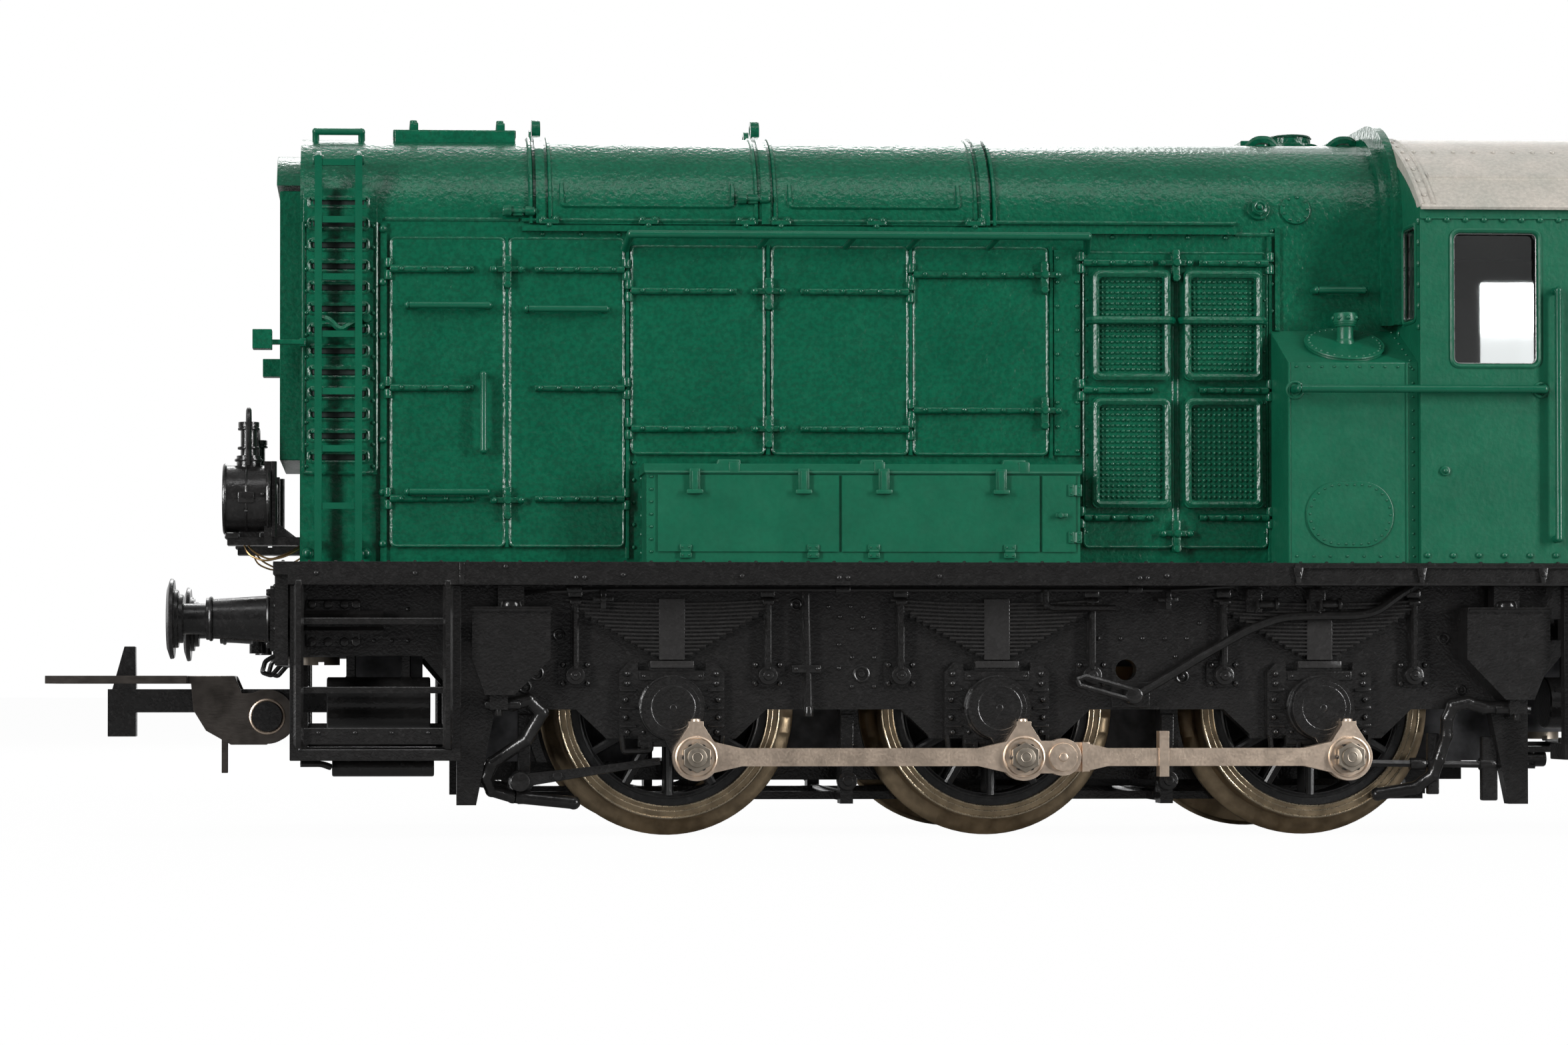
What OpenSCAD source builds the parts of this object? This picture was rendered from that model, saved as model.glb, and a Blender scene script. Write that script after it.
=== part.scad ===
// Scale model of a six-coupled diesel shunting locomotive, in millimetres.
// X runs along the track with the bonnet end at -X and the cab end at +X,
// Y runs across it with the left side at -Y, Z is up, and z = 0 is the foot of the flanges.

/* [Track and wheels] */
// Distance between neighbouring axles
axle_pitch = 20.15; // [19.8:0.05:20.6]
// Radius of the wheel tread
tread_r = 7; // [6.8:0.05:7.1]
// Height of the flange above the tread
flange_h = 1; // [0.7:0.05:1.05]
// Width of a tyre with its flange
tyre_w = 2.8; // [2.5:0.05:2.9]
// Thickness of a tyre, from its seat to the tread
tyre_t = 0.9; // [0.7:0.05:1.1]
// Clear distance between the backs of two wheels
back_gap = 14.3; // [14.2:0.05:14.5]
// Radius of an axle
axle_r = 1; // [0.8:0.05:1.1]
// Number of spokes in a wheel
spokes = 12; // [10:1:14]
// Radius of a wheel's hub
hub_r = 1.9; // [1.6:0.05:2.2]
// Distance from an axle to its crank pin
crank_throw = 3.3; // [3:0.05:3.5]
// Thickness of a fly crank
crank_t = 0.85; // [0.7:0.05:0.95]
// Radius of a crank pin where it carries the rod
pin_r = 0.7; // [0.6:0.05:0.8]
// Thickness of a coupling rod
rod_t = 0.8; // [0.6:0.05:0.9]
// Height of a coupling rod between its eyes
rod_h = 1.1; // [0.9:0.05:1.3]
// Outer radius of a coupling rod's end eye
eye_r = 1.45; // [1.3:0.05:1.6]

/* [Bonnet] */
// Width of the bonnet over its side sheets
hood_w = 18.6; // [18.2:0.1:19]
// Thickness of the bonnet moulding
hood_wall = 1; // [0.8:0.05:1.1]
// Height of the bonnet's top above the flange foot
hood_top = 44.2; // [43.4:0.1:45]
// Radius of the bonnet's shoulders
hood_r = 6; // [5:0.1:7]
// Distance from the middle axle to the bonnet's front
hood_nose = 43.1; // [42.6:0.05:43.4]
// How far the side doors stand out of the bonnet
door_t = 0.25; // [0.15:0.05:0.3]
// Height of the battery boxes
box_h = 6.1; // [5.4:0.1:6.4]
// How far the battery boxes stand in from the footplate's edge
box_set = 1.7; // [1.3:0.05:2.1]
// How far the side tanks stand in from the footplate's edge
tank_set = 1; // [0.8:0.05:1.4]
// Height of the side tanks at their outer edge
tank_h = 12.4; // [11.4:0.1:13]
// How much higher the tanks' tops are at the bonnet
tank_slope = 2.4; // [1.6:0.1:2.8]

/* [Cab] */
// Distance from the middle axle to the cab's front wall
cab_x = 25.9; // [25.7:0.05:26.2]
// Distance from the middle axle to the cab's rear wall
cab_end = 44.2; // [43.8:0.05:44.4]
// How far the cab's sides stand in from the footplate's edge
cab_set = 0.5; // [0.4:0.05:0.8]
// Thickness of the cab walls
cab_wall = 0.9; // [0.7:0.05:1]
// Height of the cab's eaves above the flange foot
eave_z = 38.9; // [38.4:0.1:39.6]
// Rise of the cab roof from eaves to crown
roof_rise = 5.9; // [5:0.1:6.4]
// Thickness of the cab roof
roof_t = 0.9; // [0.7:0.05:1.1]

/* [Underframe] */
// Height of the footplate's top above the flange foot
deck_z = 16.9; // [16.8:0.05:17.2]
// Thickness of the footplate
deck_t = 0.8; // [0.6:0.05:0.8]
// Width of the footplate
deck_w = 29.8; // [29.6:0.1:30]
// Distance from the middle axle to each end of the footplate
deck_end = 44.6; // [44.5:0.05:44.8]
// Depth of the valance below the footplate
valance_h = 0.6; // [0.4:0.05:0.8]
// Thickness of a side frame
frame_t = 1; // [0.8:0.05:1.05]
// Distance from the centreline to a side frame's inner face
frame_y = 10.6; // [10.5:0.05:10.7]
// Number of leaves in a bearing spring
leaves = 14; // [8:1:16]
// Width of the die-cast block between the wheels
block_w = 13.2; // [12.8:0.1:13.4]

/* [Buffers and couplers] */
// Height of the buffers above the flange foot
buffer_z = 13.5; // [13.2:0.05:13.7]
// Distance from the centreline to each buffer
buffer_y = 10; // [9.6:0.1:10.4]
// Radius of a buffer head
buffer_r = 2.5; // [2.2:0.05:2.7]
// Travel of a buffer
buffer_travel = 1.2; // [0.8:0.1:1.3]
// Length of a buffer's sleeve
sleeve_len = 4; // [3.6:0.1:4.2]
// Height of the coupler's pivot above the flange foot
coupler_z = 8.4; // [8.2:0.05:8.6]
// Distance from the middle axle to the coupler's foremost edge
coupler_end = 59.2; // [58.6:0.1:59.6]
// Half width of the coupler's loop
loop_y = 5.4; // [5:0.1:5.8]
// Thickness of the coupler's sheet metal
loop_t = 0.5; // [0.4:0.05:0.6]

/* [Drive] */
// Module of the gears
gear_m = 0.4; // [0.39:0.005:0.405]
// Teeth of an axle gear
axle_teeth = 20; // [20:1:20]
// Teeth of the idler gear that the worm drives
idler_teeth = 32; // [32:1:32]
// Face width of the gears
gear_w = 1.3; // [1.2:0.05:1.3]
// Starts of the worm's thread
starts = 2; // [2:1:2]
// Pitch radius of the worm
worm_r = 2; // [1.9:0.05:2.1]
// Length of the worm
worm_len = 5; // [4.6:0.2:6]
// Radius of the motor's shaft
shaft_r = 0.75; // [0.6:0.05:0.8]
// Radius of the motor's case
motor_r = 5; // [4.6:0.05:5.6]
// Length of the motor's case
motor_len = 18; // [16:0.5:20]
// Radius of the motor's rotor
rotor_r = 2.5; // [2.2:0.05:2.7]
// Radius of the flywheel
flywheel_r = 3; // [2.6:0.1:3.2]

/* [Hidden] */
$fn = 48;
tiny = 0.01;
fit = 0.05;                              // running clearance round shafts and pins
seat = 0.3;                              // clearance between moving and fixed faces
axle_z = tread_r + flange_h;
flange_r = axle_z;
deck_under = deck_z - deck_t;
wheel_out = back_gap / 2 + tyre_w;       // outer face of a wheel
frame_out = frame_y + frame_t;           // outer face of a side frame
detail_y = frame_out + 0.55;             // outer face of springs and axleboxes
crank_y = detail_y + 0.15;               // inner face of a fly crank
rod_y = crank_y + crank_t + fit;         // inner face of a coupling rod
pin_head_t = 0.55;
half_hood = hood_w / 2;
half_deck = deck_w / 2;
half_cab = half_deck - cab_set;
shoulder_z = hood_top - hood_r;
axles = [-axle_pitch, 0, axle_pitch];
rest_angle = [-66, 24];                  // crank angles at rest, left and right, quartered
sides = [-1, 1];

// ---------- Helpers ----------

// A solid with its outline in the XZ plane, from y0 to y1.
module slab(y0, y1) {
  translate([0, y1, 0]) rotate([90, 0, 0]) linear_extrude(y1 - y0) children();
}

// A solid with its outline in the YZ plane, from x0 to x1.
module along_x(x0, x1) {
  translate([x0, 0, 0]) rotate([90, 0, 90]) linear_extrude(x1 - x0) children();
}

// A box between two corners.
module block(x0, x1, y0, y1, z0, z1) {
  translate([x0, y0, z0]) cube([x1 - x0, y1 - y0, z1 - z0]);
}

// A flat rectangle between two corners.
module rect(x0, x1, z0, z1) {
  translate([x0, z0]) square([x1 - x0, z1 - z0]);
}

// A flat rectangle with round corners.
module round_rect(x0, x1, z0, z1, r) {
  rect(x0 + r, x1 - r, z0, z1);
  rect(x0, x1, z0 + r, z1 - r);
  for (x = [x0 + r, x1 - r], z = [z0 + r, z1 - r]) translate([x, z]) circle(r, $fn = 24);
}

// A disc or shaft across the model, from y0 to y1.
module cross_shaft(x, z, r, y0, y1) {
  translate([x, y1, z]) rotate([90, 0, 0]) cylinder(r = r, h = y1 - y0);
}

// A round bar through a list of points, with round ends and corners.
module bar(points, r) {
  for (i = [0 : len(points) - 2]) {
    d = points[i + 1] - points[i];
    translate(points[i])
      rotate([0, acos(d[2] / norm(d)), atan2(d[1], d[0])])
        cylinder(r = r, h = norm(d), $fn = 16);
  }
  for (p = points) translate(p) sphere(r * 1.08, $fn = 16);
}

// The same thing on both sides of the model.
module both_sides() {
  children();
  mirror([0, 1, 0]) children();
}

// The same thing at both ends of the model.
module both_ends() {
  children();
  mirror([1, 0, 0]) children();
}

// ---------- Bonnet ----------

hood_back = cab_x;
panel_low = deck_z + 1.1;
panel_top = shoulder_z - 1;
box_top = deck_z + box_h;
mid_low = box_top + 0.8;
grille_x = [6.4, 12.2];                  // left edges of the mesh panels
grille_w = 4.95;
grille_low = deck_z + 3.6;
grille_h = (panel_top - 1.8 - grille_low - 1.1) / 2;
grille_z = [grille_low, grille_low + grille_h + 1.1]; // lower edges of the mesh panels
door_gap = 0.15;
high_straps = [deck_z + 4.1, (deck_z + panel_top + 1.7) / 2, panel_top - 1.9];
vent_straps = [deck_z + 3, (deck_z + panel_top + 1.7) / 2, panel_top - 1.3];
// Side doors, each [x0, x1, z0, z1, hinge side, strap length, strap heights].
doors = [
  [-37.5, -30.35, panel_low, panel_top + 0.1, -1, 5.2, high_straps],
  [-30.1, -22.9, panel_low, panel_top + 0.1, 1, 5.6, high_straps],
  [-22.5, -14.1, mid_low, panel_top - 0.35, -1, 6.6, [mid_low + 1.6, panel_top - 3.2]],
  [-13.7, -5.1, mid_low, panel_top - 0.35, 1, 6.8, [mid_low + 1.6, panel_top - 3.2]],
  [-4.8, 3.7, mid_low, panel_top - 0.35, -1, 7.2, [mid_low + 2.8, panel_top - 2.1]],
  [5.9, 11.65, panel_low, panel_top - 0.6, -1, 4.4, vent_straps],
  [11.85, 17.6, panel_low, panel_top - 0.6, 1, 4.4, vent_straps]];
post = [4.1, 5.75];                      // riveted strip between two doors
louvre_x = [-42.4, -39];
louvre_low = deck_z + 6.7;               // lowest louvre
louvre_step = 1.32;
louvres = floor((shoulder_z - 1.2 - louvre_low) / louvre_step) + 1;
nose_sheet = [-42.9, -38.3];             // the sheet that carries the louvres
roof_band = [-28.4, -0.2];               // the raised middle of the bonnet's roof
roof_ribs = [-28.4, -14.3, -0.5];
rib_w = 0.55;
rib_t = 0.35;
radiator_x = hood_nose + 1.3;            // the radiator's face
radiator_y = 7.4;
radiator_z = [deck_z + 6.6, shoulder_z + 2.2];

// The bonnet's outline across the track, grown by g.
module hood_outline(g = 0) {
  rect(-half_hood - g, half_hood + g, deck_z, shoulder_z);
  rect(-half_hood + hood_r, half_hood - hood_r, deck_z, hood_top + g);
  for (s = sides) translate([s * (half_hood - hood_r), shoulder_z]) circle(hood_r + g);
}

// The bonnet's outline above a height, as a band of thickness t.
module hood_band(z, t) {
  difference() {
    intersection() {
      hood_outline(t);
      rect(-half_hood - 2, half_hood + 2, z, hood_top + 2);
    }
    hood_outline(-tiny);
  }
}

// One door sheet with its hinge straps.
module hood_door(d) {
  slab(-half_hood - door_t, -half_hood + tiny) round_rect(d[0], d[1], d[2], d[3], 0.3);
  for (z = d[6])
    slab(-half_hood - door_t - 0.2, -half_hood) if (d[4] < 0) rect(d[0], d[0] + d[5], z - 0.22, z + 0.22);
      else rect(d[1] - d[5], d[1], z - 0.22, z + 0.22);
}

// One raised mesh panel with its frame.
module hood_grille(x, z, h) {
  slab(-half_hood - door_t - 0.55, -half_hood) difference() {
    round_rect(x, x + grille_w, z, z + h, 0.35);
    round_rect(x + 0.45, x + grille_w - 0.45, z + 0.45, z + h - 0.45, 0.2);
  }
  slab(-half_hood - door_t - 0.2, -half_hood) rect(x + 0.4, x + grille_w - 0.4, z + 0.4, z + h - 0.4);
}

module hood_shell() color("#0b5a44") difference() {
  union() {
    along_x(-hood_nose, hood_back) hood_outline();
    along_x(roof_band[0], roof_band[1]) hood_band(shoulder_z, 0.15);
    for (x = roof_ribs) along_x(x, x + rib_w) hood_band(shoulder_z, rib_t);
    // flared flange that meets the cab
    along_x(hood_back - 0.5, hood_back) hood_band(deck_z + tank_h + tank_slope + 0.3, 1.3);
    along_x(hood_back - 1.1, hood_back - 0.4) hood_band(deck_z + tank_h + tank_slope + 0.3, 0.5);
    both_sides() {
      for (d = doors) hood_door(d);
      for (x = grille_x, z = grille_z) hood_grille(x, z, grille_h);
      slab(-half_hood - 0.2, -half_hood + tiny) rect(post[0], post[1], mid_low, panel_top - 0.5);
      // cover strip over the louvres, and the gutter rail at the shoulder
      slab(-half_hood - 0.2, -half_hood + tiny) difference() {
        rect(nose_sheet[0], nose_sheet[1], louvre_low - 1.1, shoulder_z);
        for (i = [0 : louvres - 1]) {
          z = louvre_low + i * louvre_step;
          round_rect(louvre_x[0], louvre_x[1], z - 0.25, z + 0.25, 0.2);
        }
      }
      slab(-half_hood - 0.45, -half_hood + tiny) rect(-29.3, 15.6, shoulder_z - 0.5, shoulder_z - 0.15);
      slab(-half_hood - 0.2, -half_hood + tiny) rect(-38.1, -37.7, deck_z, shoulder_z);
      slab(-half_hood - 0.2, -half_hood + tiny) rect(18.1, 18.4, deck_z + tank_h + tank_slope, shoulder_z);
    }
  }
  // inside of the moulding, open at the bottom and towards the cab
  along_x(-hood_nose + hood_wall, hood_back + 1) difference() {
    hood_outline(-hood_wall);
    rect(-half_hood, half_hood, hood_top - hood_wall, hood_top + 1);
  }
  block(-hood_nose + hood_wall, hood_back + 1, -half_hood + hood_wall, half_hood - hood_wall,
        deck_z - 1, deck_z + 1);
  // radiator opening in the nose
  block(-hood_nose - 1, -hood_nose + hood_wall + 1, -radiator_y, radiator_y, radiator_z[0], radiator_z[1]);
}

module radiator_grille() color("#084a38") {
  frame_w = 0.9;
  slats = 16;
  difference() {
    block(-radiator_x, -hood_nose + hood_wall, -radiator_y, radiator_y, radiator_z[0], radiator_z[1]);
    block(-radiator_x - 1, -hood_nose - 0.4, -radiator_y + frame_w, radiator_y - frame_w,
          radiator_z[0] + frame_w, radiator_z[1] - frame_w);
  }
  pitch = 2 * (radiator_y - frame_w) / slats;
  for (i = [1 : slats - 1])
    block(-radiator_x + 0.15, -hood_nose - 0.4 + tiny, -radiator_y + frame_w + i * pitch - 0.15,
          -radiator_y + frame_w + i * pitch + 0.15, radiator_z[0] + frame_w - tiny,
          radiator_z[1] - frame_w + tiny);
}

header_low = radiator_z[1] + 0.35;       // foot of the casing over the radiator
roof_box = [-37.3, -29.5];

module hood_fittings() color("#0b5a44") {
  // header casing across the nose, rounded like the bonnet
  along_x(-radiator_x - 0.2, -hood_nose + tiny) intersection() {
    hood_outline(-1.1);
    rect(-half_hood, half_hood, header_low, hood_top);
  }
  // roof hatch with two lifting lugs
  block(roof_box[0], roof_box[1], -5, 5, hood_top, hood_top + 0.4);
  for (x = [roof_box[0] + 1.1, roof_box[1] - 1.2])
    along_x(x, x + 0.5) for (s = sides) round_rect(s * 4.4 - 0.5, s * 4.4 + 0.5, hood_top + 0.1, hood_top + 1, 0.2);
  // lifting eyes on the roof ribs
  for (x = [roof_ribs[0], roof_ribs[1]], s = sides)
    along_x(x, x + rib_w) translate([s * 2.2, hood_top + rib_t]) difference() {
      translate([0, 0.5]) circle(0.75, $fn = 24);
      translate([0, 0.6]) circle(0.3, $fn = 24);
      translate([-1, -1]) square([2, 1]);
    }
  // exhaust and vents on the bonnet's rear roof
  translate([21.4, 0, hood_top]) cylinder(r = 1.9, h = 0.5);
  translate([21.4, 0, hood_top + 0.5]) cylinder(r = 1.4, h = 0.5);
  for (x = [18.4, 24.2]) block(x - 0.8, x + 0.8, -2.6, 2.6, hood_top, hood_top + 0.5);
  // marker lamps on their arms at the nose
  for (s = sides) {
    block(-46, -44.8, s * 10.2 - 0.6, s * 10.2 + 0.6, 30.2, 31.4);
    block(-44.8, -hood_nose + 0.3, s * 10.2 - 0.2, s * 10.2 + 0.2, 30.5, 30.8);
    block(-hood_nose, -hood_nose + 0.4, s * 9.8 - 0.5, s * 9.8 + 0.5, 30.4, 30.9);
  }
}

ladder_x = [-41.95, -39.45];
ladder_y = half_hood + 1.1;
ladder_z = [deck_z, shoulder_z + 4];
rung_pitch = 3.55;

module hood_ladders() color("#0d6049") both_sides() {
  for (x = ladder_x) block(x - 0.22, x + 0.22, -ladder_y - 0.2, -ladder_y + 0.2, ladder_z[0], ladder_z[1]);
  for (i = [0 : 6])
    block(ladder_x[0] + 0.2, ladder_x[1] - 0.2, -ladder_y - 0.15, -ladder_y + 0.15,
          ladder_z[1] - 0.4 - i * rung_pitch - 0.2, ladder_z[1] - 0.4 - i * rung_pitch + 0.2);
  // feet and stays that hold the ladder off the bonnet
  for (x = ladder_x) {
    block(x - 0.22, x + 0.22, -ladder_y + 0.2, -half_hood, deck_z + 1, deck_z + 1.5);
    block(x - 0.22, x + 0.22, -ladder_y + 0.2, -half_hood - 0.2, shoulder_z - 0.6, shoulder_z - 0.1);
  }
}

rail_r = 0.25;
rail_y = half_hood + 1.9;
rail_z = shoulder_z - 0.85;
grab_y = half_hood + door_t + 0.75;
cab_rail_y = half_cab + 0.65;

// A straight grab rail parallel to a side sheet at y, with its two legs.
module grab(a, b, y, foot) {
  bar([[a[0], foot, a[1]], [a[0], y, a[1]], [b[0], y, b[1]], [b[0], foot, b[1]]], 0.22);
}

module handrails() color("#0d6a50") both_sides() {
  // long rail below the bonnet's shoulder, on five stanchions
  bar([[-22.9, -half_hood, rail_z - 0.8], [-22.6, -rail_y, rail_z],
       [5.9, -rail_y, rail_z], [6.2, -half_hood, rail_z - 0.8]], rail_r);
  for (x = [-14, -8.6, -4.6, 0.4]) bar([[x, -rail_y, rail_z], [x - 0.5, -half_hood, rail_z - 0.6]], 0.18);
  // grab rails on the front doors
  grab([-36.4, 33], [-31.4, 33], -grab_y, -half_hood - door_t);
  grab([-29, 32.8], [-24.1, 32.8], -grab_y, -half_hood - door_t);
  grab([-36.4, 21.4], [-31.5, 21.4], -grab_y, -half_hood - door_t);
  grab([-31.7, 28.7], [-31.7, 24], -grab_y, -half_hood - door_t);
  grab([20.6, 34.2], [23.6, 34.2], -half_hood - 0.8, -half_hood);
  // grab rail over the ladder's head
  bar([[-42.2, -4.6, hood_top - 0.25], [-42.2, -4.9, hood_top + 0.35], [-39.3, -4.9, hood_top + 0.35],
       [-39.3, -4.6, hood_top - 0.25]], 0.22);
  // rail from the tank to the cab, and the rails beside the cab door
  bar([[18.2, -tank_face, 27.6], [18.2, -cab_rail_y, 27.6], [33.4, -cab_rail_y, 27.6],
       [33.4, -half_cab, 27.6]], rail_r);
  grab([34.3, 33.7], [34.3, 18.4], -cab_rail_y, -half_cab);
}

box_x = [-21.8, 5];
box_face = half_deck - box_set;

module battery_boxes() color("#0f6048") both_sides() {
  block(box_x[0], box_x[1], -box_face, -half_hood, deck_z, box_top - 0.55);
  // lid with a rolled edge
  block(box_x[0] - 0.15, box_x[1] + 0.1, -box_face - 0.15, -half_hood, box_top - 0.55, box_top);
  // front sheets of the two long doors and the small one
  slab(-box_face - 0.12, -box_face + tiny) {
    rect(box_x[0] + 0.7, -9.95, deck_z + 0.7, box_top - 0.7);
    rect(-9.75, 2.45, deck_z + 0.7, box_top - 0.7);
    rect(2.65, box_x[1] - 0.3, deck_z + 0.7, box_top - 0.7);
  }
  for (x = [-18.85, -12.15, -7.2, 0.05])
    slab(-box_face - 0.4, -box_face) rect(x - 0.3, x + 0.3, box_top - 1.7, box_top - 0.55);
}

tank_x = [17.8, cab_x];
tank_face = half_deck - tank_set;
tank_d = tank_face - half_hood;
tank_top = deck_z + tank_h;
cap_y = (half_hood + tank_face) / 2;

module side_tanks() color("#0f6048") both_sides() {
  along_x(tank_x[0], tank_x[1]) polygon([
    [-tank_face, deck_z], [-half_hood, deck_z], [-half_hood, tank_top + tank_slope],
    [-tank_face, tank_top]]);
  // oval cover on the face, round cover and filler cap on the top
  slab(-tank_face - 0.12, -tank_face + tiny) round_rect(18.9, 24.3, deck_z + 1, deck_z + 5.05, 1.95);
  tilt = atan(tank_slope / tank_d);
  translate([21.9, -cap_y, tank_top + tank_slope / 2]) rotate([tilt, 0, 0]) cylinder(r = 2.4, h = 0.25);
  translate([22.05, -cap_y + 0.3, tank_top + tank_slope / 2]) cylinder(r = 0.5, h = 1.9, $fn = 24);
  translate([22.05, -cap_y + 0.3, tank_top + tank_slope / 2 + 1.4]) cylinder(r = 0.7, h = 0.7, $fn = 24);
}

// ---------- Cab ----------

cab_floor = deck_z;
side_window = [28, 33.2, deck_z + 12.3, deck_z + 20.4];
door_x = [36.2, 42.9];
door_window = [38.2, 42.4, deck_z + 12.3, deck_z + 20.6];
front_window = [10.9, 13.4, deck_z + 15.2, deck_z + 20.9];
rear_window = [5.4, 11.6, deck_z + 12.3, deck_z + 20];
glass_t = 0.5;

// Height of the cab roof's top at y.
function roof_z(y) = eave_z + roof_rise * (1 - pow(abs(y) / (half_cab + 0.3), 2.6));

// The cab roof's outline from the level z up to its top, lowered by g.
module roof_outline(z, g) {
  steps = 24;
  w = half_cab + 0.3 - g * 0.25;
  polygon(concat([[w, z], [-w, z]],
    [for (i = [1 : steps - 1]) let (y = -w + 2 * w * i / steps) [y, max(z + tiny * 5, roof_z(y) - g)]]));
}

module window_cuts() {
  both_sides() {
    slab(-half_cab - 1, -half_cab + cab_wall + 1) {
      round_rect(side_window[0], side_window[1], side_window[2], side_window[3], 0.4);
      round_rect(door_window[0], door_window[1], door_window[2], door_window[3], 0.4);
    }
    along_x(cab_x - 1, cab_x + cab_wall + 1)
      round_rect(-front_window[1], -front_window[0], front_window[2], front_window[3], 0.3);
    along_x(cab_end - cab_wall - 1, cab_end + 1)
      round_rect(-rear_window[1], -rear_window[0], rear_window[2], rear_window[3], 0.4);
  }
}

module cab_shell() color("#0f6048") difference() {
  union() {
    along_x(cab_x, cab_end) {
      rect(-half_cab, half_cab, cab_floor, eave_z);
      intersection() {
        roof_outline(eave_z - 1, roof_t);
        rect(-half_cab, half_cab, eave_z - tiny, eave_z + 10);
      }
    }
    both_sides() {
      // door sheet and the rain strip over the windows
      slab(-half_cab - 0.12, -half_cab + tiny) round_rect(door_x[0], door_x[1], cab_floor + 0.3, eave_z - 0.9, 0.3);
      slab(-half_cab - 0.12, -half_cab + tiny) rect(cab_x, cab_end, eave_z - 0.75, eave_z - 0.65);
    }
  }
  block(cab_x + cab_wall, cab_end - cab_wall, -half_cab + cab_wall, half_cab - cab_wall, cab_floor - 1, eave_z);
  along_x(cab_x + cab_wall, cab_end - cab_wall) intersection() {
    roof_outline(eave_z - 1, roof_t + 0.9);
    rect(-half_cab + cab_wall, half_cab - cab_wall, eave_z - 1, eave_z + 10);
  }
  window_cuts();
}

strip_y = half_cab - 2.1;                 // the rain strips along the roof

module cab_roof() color("#c3bfb4") {
  difference() {
    along_x(cab_x, cab_end + 0.3) roof_outline(eave_z, 0);
    along_x(cab_x - 1, cab_end + 1) roof_outline(eave_z - 1, roof_t);
  }
  // rain strips along the roof
  for (s = sides) along_x(cab_x + 1.1, cab_end - 1.4) translate([s * strip_y, roof_z(strip_y)])
    rotate(-s * 38) translate([-0.3, -0.3]) square([0.6, 0.45]);
}

// One pane that fills a side, front or rear opening.
module cab_glazing() color([0.85, 0.9, 0.92, 0.35]) both_sides() {
  inset = 0.15;
  slab(-half_cab + inset, -half_cab + inset + glass_t) {
    round_rect(side_window[0], side_window[1], side_window[2], side_window[3], 0.4);
    round_rect(door_window[0], door_window[1], door_window[2], door_window[3], 0.4);
  }
  along_x(cab_x + inset, cab_x + inset + glass_t)
    round_rect(-front_window[1], -front_window[0], front_window[2], front_window[3], 0.3);
  along_x(cab_end - inset - glass_t, cab_end - inset)
    round_rect(-rear_window[1], -rear_window[0], rear_window[2], rear_window[3], 0.4);
}

module cab_interior() color("#2a2624") {
  w = half_cab - cab_wall - fit;
  // floor on the footplate
  block(cab_x + cab_wall + fit, cab_end - cab_wall - fit, -w, w, deck_z, deck_z + 0.8);
  // control desk along the front wall, and two round stools
  block(cab_x + cab_wall + fit, cab_x + 3.6, -w + 1, w - 1, deck_z + 0.8, deck_z + 10.6);
  block(cab_x + 3.6, cab_x + 4.6, -5, 5, deck_z + 7.5, deck_z + 9.4);
  for (s = sides) translate([cab_x + 8.6, s * 8.6, deck_z + 0.8]) {
    cylinder(r = 0.6, h = 5.4, $fn = 24);
    translate([0, 0, 5]) cylinder(r = 1.9, h = 0.8, $fn = 32);
  }
}

// ---------- Underframe ----------

block_top = deck_z + 5.4;
block_hole = [-37.6, 22];                // opening in the footplate for the block's upper part
block_up_y = 7.6;
beam_t = 0.8;
beam_x = deck_end - 0.1;
beam_low = 10.6;

module footplate() color("#1c1a1b") difference() {
  union() {
    block(-deck_end, deck_end, -deck_w / 2, deck_w / 2, deck_under, deck_z);
    both_sides() block(-beam_x + beam_t, beam_x - beam_t, -deck_w / 2, -deck_w / 2 + 0.7,
                       deck_under - valance_h, deck_under + tiny);
  }
  block(block_hole[0] - fit, block_hole[1] + fit, -block_up_y - fit, block_up_y + fit,
        deck_under - 1, deck_z + 1);
  // clearance over the flanges
  for (x = axles, s = sides)
    cross_shaft(x, axle_z, flange_r + 0.4, s * (back_gap + tyre_w) / 2 - tyre_w / 2 - 0.3,
                s * (back_gap + tyre_w) / 2 + tyre_w / 2 + 0.2);
}

block_low = 4.6;
block_x = 33;
end_low = 11.2;
pocket = [35.4, 40.2, 4.2, 6.4];         // coupler pocket: inner x, outer x, half width, lower z
idler_h = sqrt(pow(gear_m * (axle_teeth + idler_teeth) / 2, 2) - pow(axle_pitch / 2, 2));
idler_x = axle_pitch / 2;
idler_z = axle_z + idler_h;
idler_pitch_r = gear_m * idler_teeth / 2;
axle_pitch_r = gear_m * axle_teeth / 2;
shaft_z = idler_z + idler_pitch_r + worm_r;
motor_x = [-21.6, -21.6 + motor_len];
fly_x = [-25.6, -22.6];
worm_x = [idler_x - worm_len / 2, idler_x + worm_len / 2];
arm_pivot_x = 37.8;
pivot_r = 0.75;
arm_t = 1.5;
swing = 12;

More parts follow.
